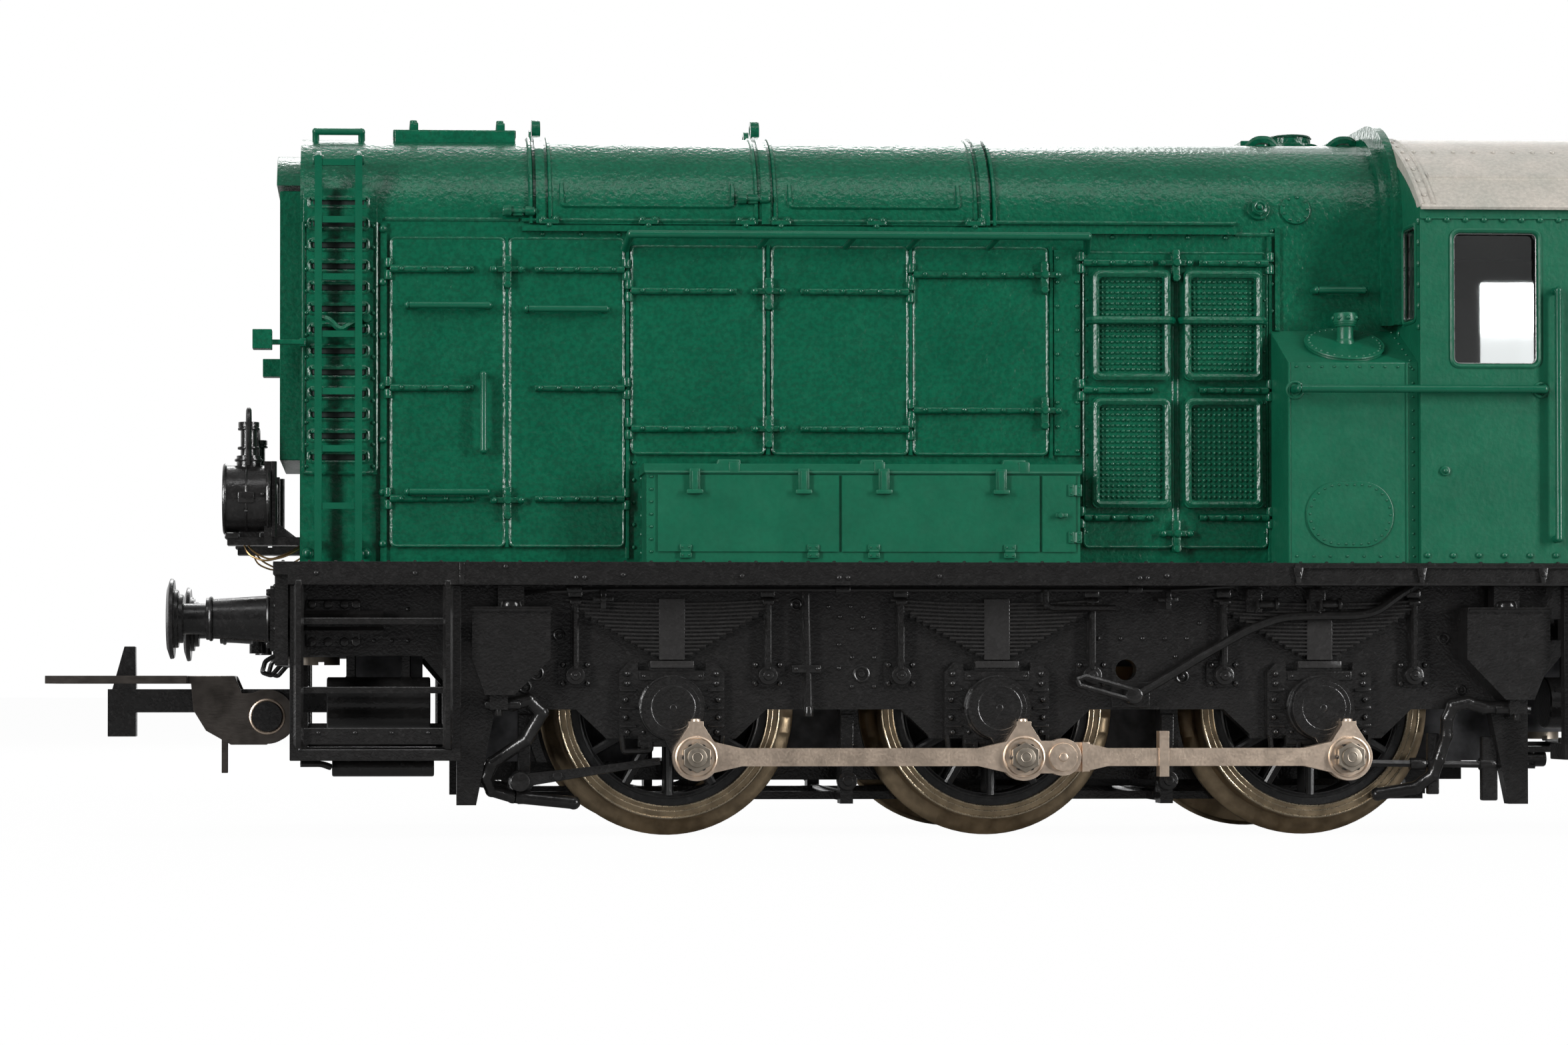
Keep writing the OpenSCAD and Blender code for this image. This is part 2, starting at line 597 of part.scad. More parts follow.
module chassis_block() color("#6b6a68") difference() {
  union() {
    block(-block_x, block_x, -block_w / 2, block_w / 2, block_low, deck_under);
    block(-beam_x + beam_t, beam_x - beam_t, -block_w / 2, block_w / 2, end_low, deck_under);
    block(block_hole[0], block_hole[1], -block_up_y, block_up_y, deck_under - tiny, block_top);
    both_ends() block(-pocket[1], -pocket[0], -pocket[2], pocket[2], pocket[3], end_low + tiny);
  }
  for (x = axles) {
    cross_shaft(x, axle_z, axle_r + fit, -block_w, block_w);
    block(x - axle_r - fit, x + axle_r + fit, -block_w, block_w, block_low - 1, axle_z);
  }
  // motor and flywheel bays, open at the top
  block(motor_x[0] - 0.2, motor_x[1] + 0.2, -motor_r + 0.6, motor_r - 0.6, shaft_z - motor_r, block_top + 1);
  block(fly_x[0] - seat, motor_x[0], -flywheel_r - seat, flywheel_r + seat, shaft_z - flywheel_r - seat, block_top + 1);
  // bay for the worm, and slots for the gears
  block(motor_x[1], worm_x[1] + 2, -3, 3, shaft_z - 2.9, block_top + 1);
  block(idler_x - idler_pitch_r - 0.8, idler_x + idler_pitch_r + 0.8, -gear_w / 2 - seat, gear_w / 2 + seat,
        block_low - 1, block_top + 1);
  for (x = [0, axle_pitch])
    block(x - axle_pitch_r - 0.8, x + axle_pitch_r + 0.8, -gear_w / 2 - seat, gear_w / 2 + seat,
          block_low - 1, axle_z + axle_pitch_r + 0.7);
  cross_shaft(idler_x, idler_z, 0.8 + fit, -4.5, 4.5);
  // bearing for the shaft's rear end
  translate([worm_x[1] + 1, 0, shaft_z]) rotate([0, 90, 0]) cylinder(r = shaft_r + fit, h = 4);
  // coupler pockets
  both_ends() {
    block(-pocket[1] - 1, -pocket[0] - 0.5, -pocket[2] + 0.6, pocket[2] - 0.6,
          coupler_z - arm_t / 2 - 0.1, coupler_z + arm_t / 2 + 0.1);
    translate([-arm_pivot_x, 0, pocket[3] - 1]) cylinder(r = pivot_r, h = end_low - pocket[3] + 2);
  }
  // holes for the fixing screws
  for (x = [-29.5, -10, 26.5]) translate([x, 0, block_low - 1]) cylinder(r = 0.8, h = 6);
}

module keeper_plate() color("#1e1c1d") difference() {
  union() {
    block(-31, 31, -5.6, 5.6, block_low - 1.2, block_low);
    block(-5, axle_pitch + 5, -1.9, 1.9, block_low - 1.7, block_low - 1.2 + tiny);
  }
  block(-4.6, axle_pitch + 4.6, -gear_w / 2 - seat, gear_w / 2 + seat, block_low - 1.35, block_low + 1);
  for (x = [-29.5, -10, 26.5]) translate([x, 0, block_low - 3]) {
    cylinder(r = 0.8 + fit, h = 5);
    cylinder(r = 1.5 + fit, h = 2.4);
  }
}

module keeper_screws() color("#8a8a8c") for (x = [-29.5, -10, 26.5]) difference() {
  union() {
    translate([x, 0, block_low - 1.2 + 0.0]) cylinder(r = 1.5, h = 0.6);
    translate([x, 0, block_low - 0.7]) cylinder(r = 0.8, h = 5.4);
  }
  block(x - 0.2, x + 0.2, -2, 2, block_low - 2, block_low - 0.95);
}

module body_screws() color("#8a8a8c") both_ends() {
  // screws that hold the body to the block
  difference() {
    translate([-41.9, 0, end_low - 0.5]) cylinder(r = 1.2, h = 0.5);
    block(-42.1, -41.7, -2, 2, end_low - 1, end_low - 0.3);
  }
  // screws that the couplers turn on
  difference() {
    union() {
      translate([-arm_pivot_x, 0, pocket[3] - 0.5]) cylinder(r = 1.3, h = 0.5);
      translate([-arm_pivot_x, 0, pocket[3] - tiny]) cylinder(r = pivot_r, h = end_low - pocket[3] + 1);
    }
    block(-arm_pivot_x - 0.2, -arm_pivot_x + 0.2, -2, 2, pocket[3] - 1, pocket[3] - 0.3);
  }
}

// The side frame's plate in the XZ plane.
module frame_outline() {
  horn = 4;
  difference() {
    union() {
      rect(-block_x - 0.4, block_x + 0.4, 7.9, deck_under);
      rect(-beam_x + beam_t, beam_x - beam_t, end_low, deck_under);
      for (x = axles) polygon([[x - horn - 2, 8], [x - horn, 6.1], [x + horn, 6.1], [x + horn + 2, 8]]);
      for (s = sides) polygon([[s * (block_x + 0.3), 8.6], [s * (block_x + 2.6), end_low + 0.1],
                              [s * (block_x + 0.3), end_low + 0.1]]);
      // guard irons in front of the outer wheels
      for (s = sides) polygon([[s * (block_x + 0.4), 8], [s * (block_x + 0.4), 2], [s * (block_x - 0.8), 2],
                              [s * (block_x - 2), 8]]);
    }
    for (x = axles) translate([x, axle_z]) circle(axle_r + 0.15);
    for (x = axles) rect(x - axle_r - 0.15, x + axle_r + 0.15, 5, axle_z);
    translate([8.15, 10.35]) circle(0.65);
  }
}

// A bearing spring's stepped outline over the axle at x.
module spring_outline(x) {
  top = 14.5;
  leaf = (top - 11.2) / leaves;
  half = 6.6;
  for (i = [0 : leaves - 1]) {
    w = half - i * (half - 0.9) / leaves;
    rect(x - w, x + w, top - (i + 1) * leaf, top - i * leaf + tiny);
  }
}

// Everything on a side frame's outer face round the axle at x, left side.
module frame_details(x) {
  slab(-frame_out - 0.4, -frame_out + tiny) spring_outline(x);
  slab(-detail_y, -frame_out + tiny) rect(x - 0.8, x + 0.8, 11, 14.7);
  // axlebox with its keep, and the horn guides beside it
  slab(-detail_y + 0.1, -frame_out + tiny) difference() {
    union() {
      rect(x - 2.1, x + 2.1, 5.6, 10.3);
      for (s = sides) polygon([[x + s * 2.1, 6.3], [x + s * 3.25, 6.3], [x + s * 3.25, 10.2],
                              [x + s * 2.7, 10.8], [x + s * 2.1, 10.8]]);
    }
    translate([x, axle_z]) circle(axle_r + 0.15);
  }
  slab(-detail_y + 0.05, -frame_out + tiny) rect(x - 1.4, x + 1.4, 10.3, 10.8);
  // spring hangers with their brackets
  for (s = sides) {
    slab(-frame_out - 0.45, -frame_out + tiny) rect(x + s * 6 - 0.2, x + s * 6 + 0.2, 10.1, 14.3);
    slab(-frame_out - 0.2, -frame_out + tiny) round_rect(x + s * 6 - 1, x + s * 6 + 1, 9.3, 10.9, 0.25);
    cross_shaft(x + s * 6, 10.1, 0.55, -frame_out - 0.5, -frame_out + tiny);
  }
}

module side_frame_left() color("#1d1b1c") {
  slab(-frame_out, -frame_y) frame_outline();
  for (x = axles) frame_details(x);
  // stays to the block, between the wheels
  for (x = [-axle_pitch / 2, axle_pitch / 2, -31.4, 31.4])
    block(x - 1, x + 1, -frame_y - tiny, -block_w / 2, 12, deck_under);
}

module side_frame_right() mirror([0, 1, 0]) side_frame_left();

// One buffer beam at the bonnet end.
module beam_front() {
  difference() {
    block(-beam_x, -beam_x + beam_t, -deck_w / 2 + 0.4, deck_w / 2 - 0.4, beam_low, deck_under);
    block(-beam_x - 1, -beam_x + beam_t + 1, -2.4, 2.4, beam_low - 1, 12);
  }
  // drawhook and the buffers' backing plates
  block(-beam_x - 0.9, -beam_x + tiny, -0.4, 0.4, 13, 14.2);
  for (s = sides)
    along_x(-beam_x - 0.35, -beam_x + tiny)
      round_rect(s * buffer_y - 2, s * buffer_y + 2, buffer_z - 2, buffer_z + 2, 0.3);
}

module buffer_beam_front() color("#1d1b1c") beam_front();
module buffer_beam_rear() color("#1d1b1c") mirror([1, 0, 0]) beam_front();

sleeve_x = beam_x + 0.35;
plunger_r = 0.95;

module buffer_sleeves() color("#201e1f") both_ends() both_sides()
  translate([-sleeve_x, -buffer_y, buffer_z]) rotate([0, -90, 0]) difference() {
    union() {
      cylinder(r1 = 1.45, r2 = 1.2, h = sleeve_len);
      translate([0, 0, sleeve_len - 0.4]) cylinder(r = 1.3, h = 0.4);
    }
    translate([0, 0, 0.6]) cylinder(r = plunger_r + fit, h = sleeve_len);
  }

// One buffer head with its plunger, at the bonnet end and on the side s.
module buffer_head(s) color("#242122")
  translate([-sleeve_x, s * buffer_y, buffer_z]) rotate([0, -90, 0]) {
    translate([0, 0, buffer_travel + 0.8]) cylinder(r = plunger_r, h = sleeve_len + 0.2);
    translate([0, 0, sleeve_len + buffer_travel + 0.2]) cylinder(r = 1.5, h = 0.3);
    translate([0, 0, sleeve_len + buffer_travel + 0.5]) cylinder(r = 1.8, h = 0.25);
    translate([0, 0, sleeve_len + buffer_travel + 0.75]) cylinder(r1 = buffer_r - 0.05, r2 = buffer_r, h = 0.25);
    translate([0, 0, sleeve_len + buffer_travel + 1]) cylinder(r1 = buffer_r, r2 = buffer_r - 0.6, h = 0.2);
  }

module buffer_front_left() buffer_head(-1);
module buffer_front_right() buffer_head(1);
module buffer_rear_left() mirror([1, 0, 0]) buffer_head(-1);
module buffer_rear_right() mirror([1, 0, 0]) buffer_head(1);

step_inner = [33.2, 34.8];               // inner posts, at the bonnet end and the cab end
step_outer = deck_end - 1;
step_y = half_deck - 0.5;
step_z = [4.8, 9.1, 13.3];
post_w = 0.6;
tread_in = frame_out + 0.8;              // inner edge of the treads

// The steps at one corner at -X, with their inner post at x.
module corner_step(x) {
  // two posts that hang from the footplate, with treads between them
  for (p = [x, step_outer - post_w]) {
    block(-p - post_w, -p, -step_y, -step_y + 0.7, step_z[0], deck_under - valance_h);
    block(-p - post_w, -p, -step_y, -frame_out, step_z[0], step_z[0] + 1);
    block(-p - post_w, -p, -step_y + 0.7, -frame_out, end_low + 1, end_low + 2);
  }
  for (z = [step_z[1], step_z[2]]) block(-step_outer, -x, -step_y, -tread_in, z - 0.2, z + 0.2);
  block(-step_outer, -x, -step_y, -frame_out, step_z[0], step_z[0] + 0.4);
  block(-step_outer, -x, -step_y, -step_y + 0.4, step_z[0] + 1, step_z[0] + 2);
  block(-step_outer, -x, -step_y, -step_y + 0.4, step_z[0], step_z[0] + 0.7);
}

module corner_steps() color("#1b191a") both_sides() {
  corner_step(step_inner[0]);
  mirror([1, 0, 0]) corner_step(step_inner[1]);
}

sand_y = [frame_out, frame_out + 2];

pipe_r = 0.4;
front_pipe = [[-31.2, 8.2], [-30, 8.2], [-28.95, 8.5], [-28.15, 7.7], [-29.1, 6.05], [-31.2, 4.6], [-31.6, 3.7],
              [-31.2, 2.9], [-29.9, 2.5], [-26.1, 2.1]];
rear_pipe = [[-31.9, 8], [-30.4, 8], [-29.4, 8.3], [-28.5, 8.1], [-28.2, 7.3], [-28.2, 6.25], [-27.8, 4.8],
             [-27.5, 3.8], [-26.5, 3], [-24.2, 2.6]];

// One sandbox with its pipe, at -X on the left. w is half its width and low its foot.
module sand_side(x, w, low, pipe, pipe_end) {
  slab(-sand_y[1], -sand_y[0]) polygon([
    [x - w, 14], [x + w, 14], [x + w, 11], [x + 0.2, low], [x - 1.6, low], [x - w, 11]]);
  slab(-sand_y[1] - 0.15, -sand_y[0]) rect(x - w, x + w, 13.9, 14.2);
  slab(-sand_y[1] + 0.4, -sand_y[0] - 0.4) rect(x - 0.8, x + 0.8, 14.1, deck_under - valance_h);
  slab(-sand_y[1] + 0.5, -sand_y[0] - 0.1) rect(x - 1.3, x - 0.2, low - 0.9, low + tiny);
  last = len(pipe) - 1;
  bar([for (i = [0 : last]) [pipe[i][0], -12.5 + (12.5 - pipe_end) * pow(i / last, 1.6), pipe[i][1]]], pipe_r);
}

module sanding_gear() color("#1a1819") both_sides() {
  sand_side(-30.1, 2.4, 8.8, front_pipe, 9.9);
  mirror([1, 0, 0]) sand_side(-31.6, 2.6, 8.5, rear_pipe, 10.6);
}

// A brake hanger with its shoe in front of the wheel on the axle at x, left side.
module brake_shoe(x) {
  y0 = -wheel_out + 0.5;
  y1 = y0 + 1.5;
  slab(y0, y1) difference() {
    intersection() {
      translate([x, axle_z]) circle(flange_r + 0.9);
      rect(x - 9, x - 5, 4.6, 9.4);
    }
    translate([x, axle_z]) circle(flange_r + seat);
  }
  slab(y0, y1) rect(x - 9.4, x - 8.6, 2, 11.4);
  // pin that hangs it from the side frame
  cross_shaft(x - 9, 11, 0.35, -frame_y, y0 + tiny);
}

module brake_gear() color("#191718") {
  both_sides() {
    for (x = axles) brake_shoe(x);
    // pull rods that join the cross shafts
    slab(-6.8, -6.2) rect(axles[0] - 9, axles[2] + 8, 2.2, 2.7);
  }
  for (x = axles) cross_shaft(x - 9, 2.45, 0.35, -9, 9);
}

module air_tanks() color("#1b191a") both_ends() for (s = sides)
  translate([-41.4, s * 9.6, 8.3]) {
    rotate([0, 90, 0]) cylinder(r = 1.6, h = 6.4);
    translate([1.2, -0.4, 0]) cube([0.6, 0.8, deck_under - 8.3]);
    translate([4.6, -0.4, 0]) cube([0.6, 0.8, deck_under - 8.3]);
  }

lamp_y = 8.4;
lamp_z = 21;
lamp_r = 2.1;
lamp_x = [deck_end + 0.3, deck_end + 3.2];
shelf_z = deck_z + 1.7;

// The two lamps of one end. inner is the place of the wall that carries their shelves.
module lamp_pair(inner) both_sides() {
  difference() {
    cross_x(-lamp_x[1], -lamp_x[0], lamp_r);
    cross_x(-lamp_x[1] - 1, -lamp_x[1] + 0.5, lamp_r - 0.3);
  }
  // chimney with its cap
  translate([-46.3, -lamp_y, lamp_z + lamp_r - 0.3]) cylinder(r = 0.75, h = 0.9, $fn = 32);
  translate([-46.3, -lamp_y, lamp_z + lamp_r + 0.6]) cylinder(r = 0.5, h = 1.8, $fn = 32);
  translate([-46.3, -lamp_y, lamp_z + lamp_r + 2.4]) cylinder(r = 0.65, h = 0.3, $fn = 32);
  // shelf on the wall behind, with an upright plate and a gusset
  block(-lamp_x[1] + 0.2, -inner, -lamp_y - 0.9, -lamp_y + 0.9, shelf_z - 0.5, shelf_z);
  block(-lamp_x[0] - 0.4, -lamp_x[0] + 0.1, -lamp_y - 1.2, -lamp_y + 0.9, shelf_z - 0.5, lamp_z + 2.3);
  slab(-lamp_y - 0.6, -lamp_y + 0.6) polygon([[-lamp_x[0], shelf_z - 0.1], [-inner - 0.1, shelf_z - 0.1],
                                             [-lamp_x[0], shelf_z + 1.2]]);
  block(-46.8, -45.6, -lamp_y - 0.5, -lamp_y + 0.5, shelf_z - tiny, lamp_z - lamp_r + 0.4);
}

module lamp_bodies() color("#232021") {
  lamp_pair(hood_nose);
  mirror([1, 0, 0]) lamp_pair(cab_end);
}

// A round lamp body along X at the lamp's place.
module cross_x(x0, x1, r) {
  translate([x0, -lamp_y, lamp_z]) rotate([0, 90, 0]) cylinder(r = r, h = x1 - x0);
}

module lamp_lenses() color([0.9, 0.9, 0.85, 0.5]) both_ends() both_sides()
  cross_x(-lamp_x[1] + 0.05, -lamp_x[1] + 0.5, lamp_r - 0.3);

module brake_hoses() color("#161415") both_ends() for (s = sides) {
  translate([-beam_x - 1.3, s * 5.4, 12.6]) rotate([0, 90, 0]) cylinder(r = 0.4, h = 1.3, $fn = 24);
  translate([-beam_x - 1.3, s * 5.4, 12.6]) sphere(0.45, $fn = 24);
  translate([-beam_x - 1.3, s * 5.4, 11.9]) cylinder(r = 0.4, h = 0.7, $fn = 24);
  translate([-beam_x - 1.3, s * 5.4, 11.4]) cylinder(r = 0.55, h = 0.6, $fn = 24);
}

// ---------- Electrics and drive ----------

module motor_flats(g) {
  intersection() {
    translate([0, shaft_z]) circle(motor_r + g);
    rect(-motor_r + 0.7 - g, motor_r - 0.7 + g, shaft_z - motor_r - 1, shaft_z + motor_r + 1);
  }
}

module motor_case() color("#9a9ea3") difference() {
  along_x(motor_x[0], motor_x[1]) motor_flats(0);
  along_x(motor_x[0] + 1, motor_x[1] - 1) translate([0, shaft_z]) circle(motor_r - 1.2);
  translate([motor_x[0] - 1, 0, shaft_z]) rotate([0, 90, 0]) cylinder(r = shaft_r + fit, h = motor_len + 2);
}

module motor_rotor() color("#b87333") translate([0, 0, shaft_z]) {
  translate([fly_x[0], 0, 0]) rotate([0, 90, 0]) cylinder(r = shaft_r, h = worm_x[1] + 3 - fly_x[0]);
  translate([motor_x[0] + 3, 0, 0]) rotate([0, 90, 0]) cylinder(r = rotor_r, h = motor_len - 8);
  translate([motor_x[1] - 4, 0, 0]) rotate([0, 90, 0]) cylinder(r = 1.5, h = 2.4);
}

module flywheel() color("#c9a44a") translate([fly_x[0], 0, shaft_z]) rotate([0, 90, 0]) difference() {
  cylinder(r = flywheel_r, h = fly_x[1] - fly_x[0]);
  translate([0, 0, -1]) cylinder(r = shaft_r, h = fly_x[1] - fly_x[0] + 2);
}

worm_pitch = PI * gear_m;
worm_lead = starts * worm_pitch;
mesh_angle = atan2(idler_h, axle_pitch / 2);
idler_phase = mesh_angle + 180 + 180 / idler_teeth;
rear_phase = -mesh_angle + 180 + 180 / axle_teeth - (idler_phase + mesh_angle) * idler_teeth / axle_teeth;
tooth_x = idler_x - (idler_phase - 90) * PI / 180 * idler_pitch_r;
thread_angle = 270 - 360 * (tooth_x + worm_pitch / 2 - worm_x[0]) / worm_lead;

// Radius of the worm's thread at an angle from a crest.
function thread_r(a) = let (turn = 360 / starts, b = a % turn, u = min(b, turn - b) / turn * worm_pitch,
  tip = 0.08 * worm_pitch, root = 0.25 * worm_pitch, high = worm_r + 0.8 * gear_m, low = worm_r - 1.15 * gear_m)
  u < tip ? high : u > root ? low : high + (low - high) * (u - tip) / (root - tip);

module worm() color("#c9a44a") difference() {
  translate([worm_x[0], 0, shaft_z]) rotate([90, 0, 90])
    linear_extrude(worm_len, twist = -360 * worm_len / worm_lead, slices = round(20 * worm_len / worm_lead))
      rotate(thread_angle) polygon([for (a = [0 : 15 : 345]) thread_r(a) * [cos(a), sin(a)]]);
  translate([worm_x[0] - 1, 0, shaft_z]) rotate([0, 90, 0]) cylinder(r = shaft_r, h = worm_len + 2);
}

// A spur gear's outline with n teeth, one of them at the angle a.
module gear_outline(n, a) {
  r = gear_m * n / 2;
  step = 360 / n;
  function half(t) = t * step;
  rotate(a) polygon([for (i = [0 : n - 1], p = [
    [r - 1.2 * gear_m, -half(0.29)], [r, -half(0.2)], [r + 0.85 * gear_m, -half(0.1)],
    [r + 0.85 * gear_m, half(0.1)], [r, half(0.2)], [r - 1.2 * gear_m, half(0.29)]])
    p[0] * [cos(i * step + p[1]), sin(i * step + p[1])]]);
}

module idler_gear() color("#e8e4d8") slab(-gear_w / 2, gear_w / 2) difference() {
  translate([idler_x, idler_z]) gear_outline(idler_teeth, idler_phase);
  translate([idler_x, idler_z]) circle(0.8 + fit);
}

module idler_pin() color("#b0b0b2") cross_shaft(idler_x, idler_z, 0.8, -4.5, 4.5);

module circuit_board() color("#2d6b3a") {
  board_z = 31;
  block(-38, 20, -7.2, 7.2, board_z, board_z + 1);
  block(-12, 6, -6, 6, board_z + 1, board_z + 4);
  block(-30, -20, -4, 4, board_z + 1, board_z + 2.4);
  for (x = [-33, 19]) translate([x, 0, block_top]) cylinder(r = 1.4, h = board_z - block_top);
}

module pickup_strips() color("#c99a5b") both_sides() {
  block(-26, 26, -block_w / 2 - 0.2, -block_w / 2, 9.2, 10.6);
  for (x = axles) block(x + 2.6, x + 3.4, -block_w / 2 - 0.45, -block_w / 2, 4.9, 9.2 + tiny);
}

// ---------- Wheelsets ----------

// One axle, with its gear where it has one. a is the gear's angle.
module axle(x, gear, a = 0) color("#a9a9ab") {
  end = crank_y + crank_t;
  if (gear) {
    difference() {
      cross_shaft(x, axle_z, axle_r, -end, end);
      slab(-gear_w / 2, gear_w / 2) translate([x, axle_z]) circle(axle_r + 1);
    }
    slab(-gear_w / 2, gear_w / 2) translate([x, axle_z]) gear_outline(axle_teeth, a);
  } else cross_shaft(x, axle_z, axle_r, -end, end);
}

module axle_front() axle(axles[0], false);
module axle_middle() axle(axles[1], true, mesh_angle);
module axle_rear() axle(axles[2], true, rear_phase);

seat_r = tread_r - tyre_t;

// The spoked wheel centres of the axle at x.
module wheel_centres(x) color("#1c1b1c") for (s = sides)
  translate([x, s * (back_gap + tyre_w) / 2, axle_z]) rotate([90, 0, 0]) {
    web = tyre_w - 1;
    difference() {
      union() {
        difference() {
          cylinder(r = seat_r, h = tyre_w - 0.3, center = true);
          cylinder(r = seat_r - 0.75, h = tyre_w, center = true);
        }
        cylinder(r = hub_r, h = tyre_w, center = true);
        for (i = [0 : spokes - 1]) rotate(i * 360 / spokes)
          translate([hub_r - 0.3, -0.28, -web / 2]) cube([seat_r - 0.5 - hub_r + 0.3, 0.56, web]);
      }
      cylinder(r = axle_r, h = tyre_w + 1, center = true);
    }
  }

module wheels_front() wheel_centres(axles[0]);
module wheels_middle() wheel_centres(axles[1]);
module wheels_rear() wheel_centres(axles[2]);

// The two tyres of the axle at x.
module tyre_pair(x) color("#8d7d63") for (s = sides)
  translate([x, 0, axle_z]) rotate([s * -90, 0, 0]) rotate_extrude() {
    b = back_gap / 2;
    polygon([[seat_r, b], [flange_r - 0.25, b], [flange_r, b + 0.25], [flange_r, b + 0.5],
             [tread_r + 0.2, b + 0.85], [tread_r, b + 1.1], [tread_r - 0.05, b + tyre_w - 0.15],
             [tread_r - 0.2, b + tyre_w], [seat_r, b + tyre_w]]);
  }

module tyres_front() tyre_pair(axles[0]);
module tyres_middle() tyre_pair(axles[1]);
module tyres_rear() tyre_pair(axles[2]);

// Place of the crank pin of the axle at x, on the side s.
function pin_at(x, s) = let (a = rest_angle[s < 0 ? 0 : 1])
  [x + crank_throw * cos(a), axle_z + crank_throw * sin(a)];

// The two fly cranks of the axle at x, each with its hexagonal pin screw.
module crank_pair(x) color("#232122") for (s = sides) {
  p = pin_at(x, s);
  a = rest_angle[s < 0 ? 0 : 1];
  y0 = s < 0 ? -crank_y - crank_t : crank_y;
  slab(y0, y0 + crank_t) difference() {
    union() {
      translate([x, axle_z]) circle(1.95);
      translate(p) circle(1.3);
      translate([x, axle_z]) rotate(a) translate([0, -1.25]) square([crank_throw, 2.5]);
    }
    translate([x, axle_z]) circle(axle_r);
  }
  end = rod_y + rod_t + fit;
  slab(s < 0 ? -end : crank_y + crank_t, s < 0 ? -crank_y - crank_t : end)
    translate(p) circle(pin_r);
  slab(s < 0 ? -end - pin_head_t : end, s < 0 ? -end : end + pin_head_t) translate(p) circle(0.92, $fn = 6);
}

module cranks_front() crank_pair(axles[0]);
module cranks_middle() crank_pair(axles[1]);
module cranks_rear() crank_pair(axles[2]);

knuckle = 2.4;                           // distance from the middle pin to the rods' knuckle

// A rod's eye with its oil cup, round the pin at p.
module eye(p, r) {
  translate(p) circle(r);
  translate(p) translate([-0.45, 0]) square([0.9, r + 0.75]);
  translate(p) polygon([[-r * 0.85, r * 0.5], [r * 0.85, r * 0.5], [0.45, r + 0.5], [-0.45, r + 0.5]]);
}

// A rod's bar from the eye at a to the eye at b, deeper where it joins each eye.
module rod_bar(a, b) {
  deep = 1.2;
  taper = 2.8;
  polygon([a + [0, deep], a + [taper, rod_h / 2], b + [-taper, rod_h / 2], b + [0, deep],
           b + [0, -deep], b + [-taper, -rod_h / 2], a + [taper, -rod_h / 2], a + [0, -deep]]);
}

// A slab in a rod's plane on the side s, from t0 to t1 outward of the rod's inner face.
module rod_slab(s, t0, t1) {
  if (s < 0) slab(-rod_y - t1, -rod_y - t0) children();
  else slab(rod_y + t0, rod_y + t1) children();
}

lap_t = rod_t / 2 - 0.02;                // thickness of each rod at the knuckle
knuckle_r = 1.15;

// The front coupling rod on the side s, with its outer lap at the knuckle.
module rod_front(s) color("#b9b2ab") {
  a = pin_at(axles[0], s);
  b = pin_at(axles[1], s);
  k = b + [knuckle, 0];
  difference() {
    union() {
      rod_slab(s, 0, rod_t) difference() {
        union() {
          eye(a, eye_r);
          eye(b, eye_r);
          rod_bar(a, b);
        }
        translate(k) circle(knuckle_r + fit);
      }
      rod_slab(s, rod_t - lap_t, rod_t) {
        translate(k) circle(knuckle_r);
        rect(b[0], k[0], b[1] - 1, b[1] + 1);
      }
    }
    rod_slab(s, -1, rod_t + 1) {
      for (p = [a, b]) translate(p) circle(pin_r + fit);
      translate(k) circle(pin_r * 0.7 + fit);
    }
  }
}

// The rear coupling rod on the side s, with its inner lap and the knuckle's pin.
module rod_rear(s) color("#b9b2ab") {
  k = pin_at(axles[1], s) + [knuckle, 0];
  c = pin_at(axles[2], s);
  difference() {
    union() {
      rod_slab(s, 0, rod_t) difference() {
        union() {
          eye(c, eye_r);
          intersection() {
            rod_bar(k, c);
            rect(k[0] + knuckle_r + fit, c[0], -10, 10);
          }
        }
        translate(k) circle(knuckle_r + fit);
      }
      rod_slab(s, 0, lap_t) {
        translate(k) circle(knuckle_r);
        rect(k[0], k[0] + knuckle_r + 0.6, k[1] - 0.9, k[1] + 0.9);
      }
      // knuckle pin with its head, and the clip round the rod
      rod_slab(s, lap_t - tiny, rod_t + fit) translate(k) circle(pin_r * 0.7);
      rod_slab(s, rod_t + 0.03, rod_t + 0.25) translate(k) circle(0.85);
      rod_slab(s, 0, rod_t + 0.12) rect(c[0] - 11.8, c[0] - 11.2, c[1] - 1.2, c[1] + 1.6);
    }
    rod_slab(s, -1, rod_t + 1) translate(c) circle(pin_r + fit);
  }
}

module rod_front_left() rod_front(-1);
module rod_front_right() rod_front(1);
module rod_rear_left() rod_rear(-1);
module rod_rear_right() rod_rear(1);

// ---------- Couplers ----------

hook_x = [53.8, 55.6];
loop_z = coupler_z + 1.1;
rivet = [45.3, 7.4];
cheek_y = 2.4;

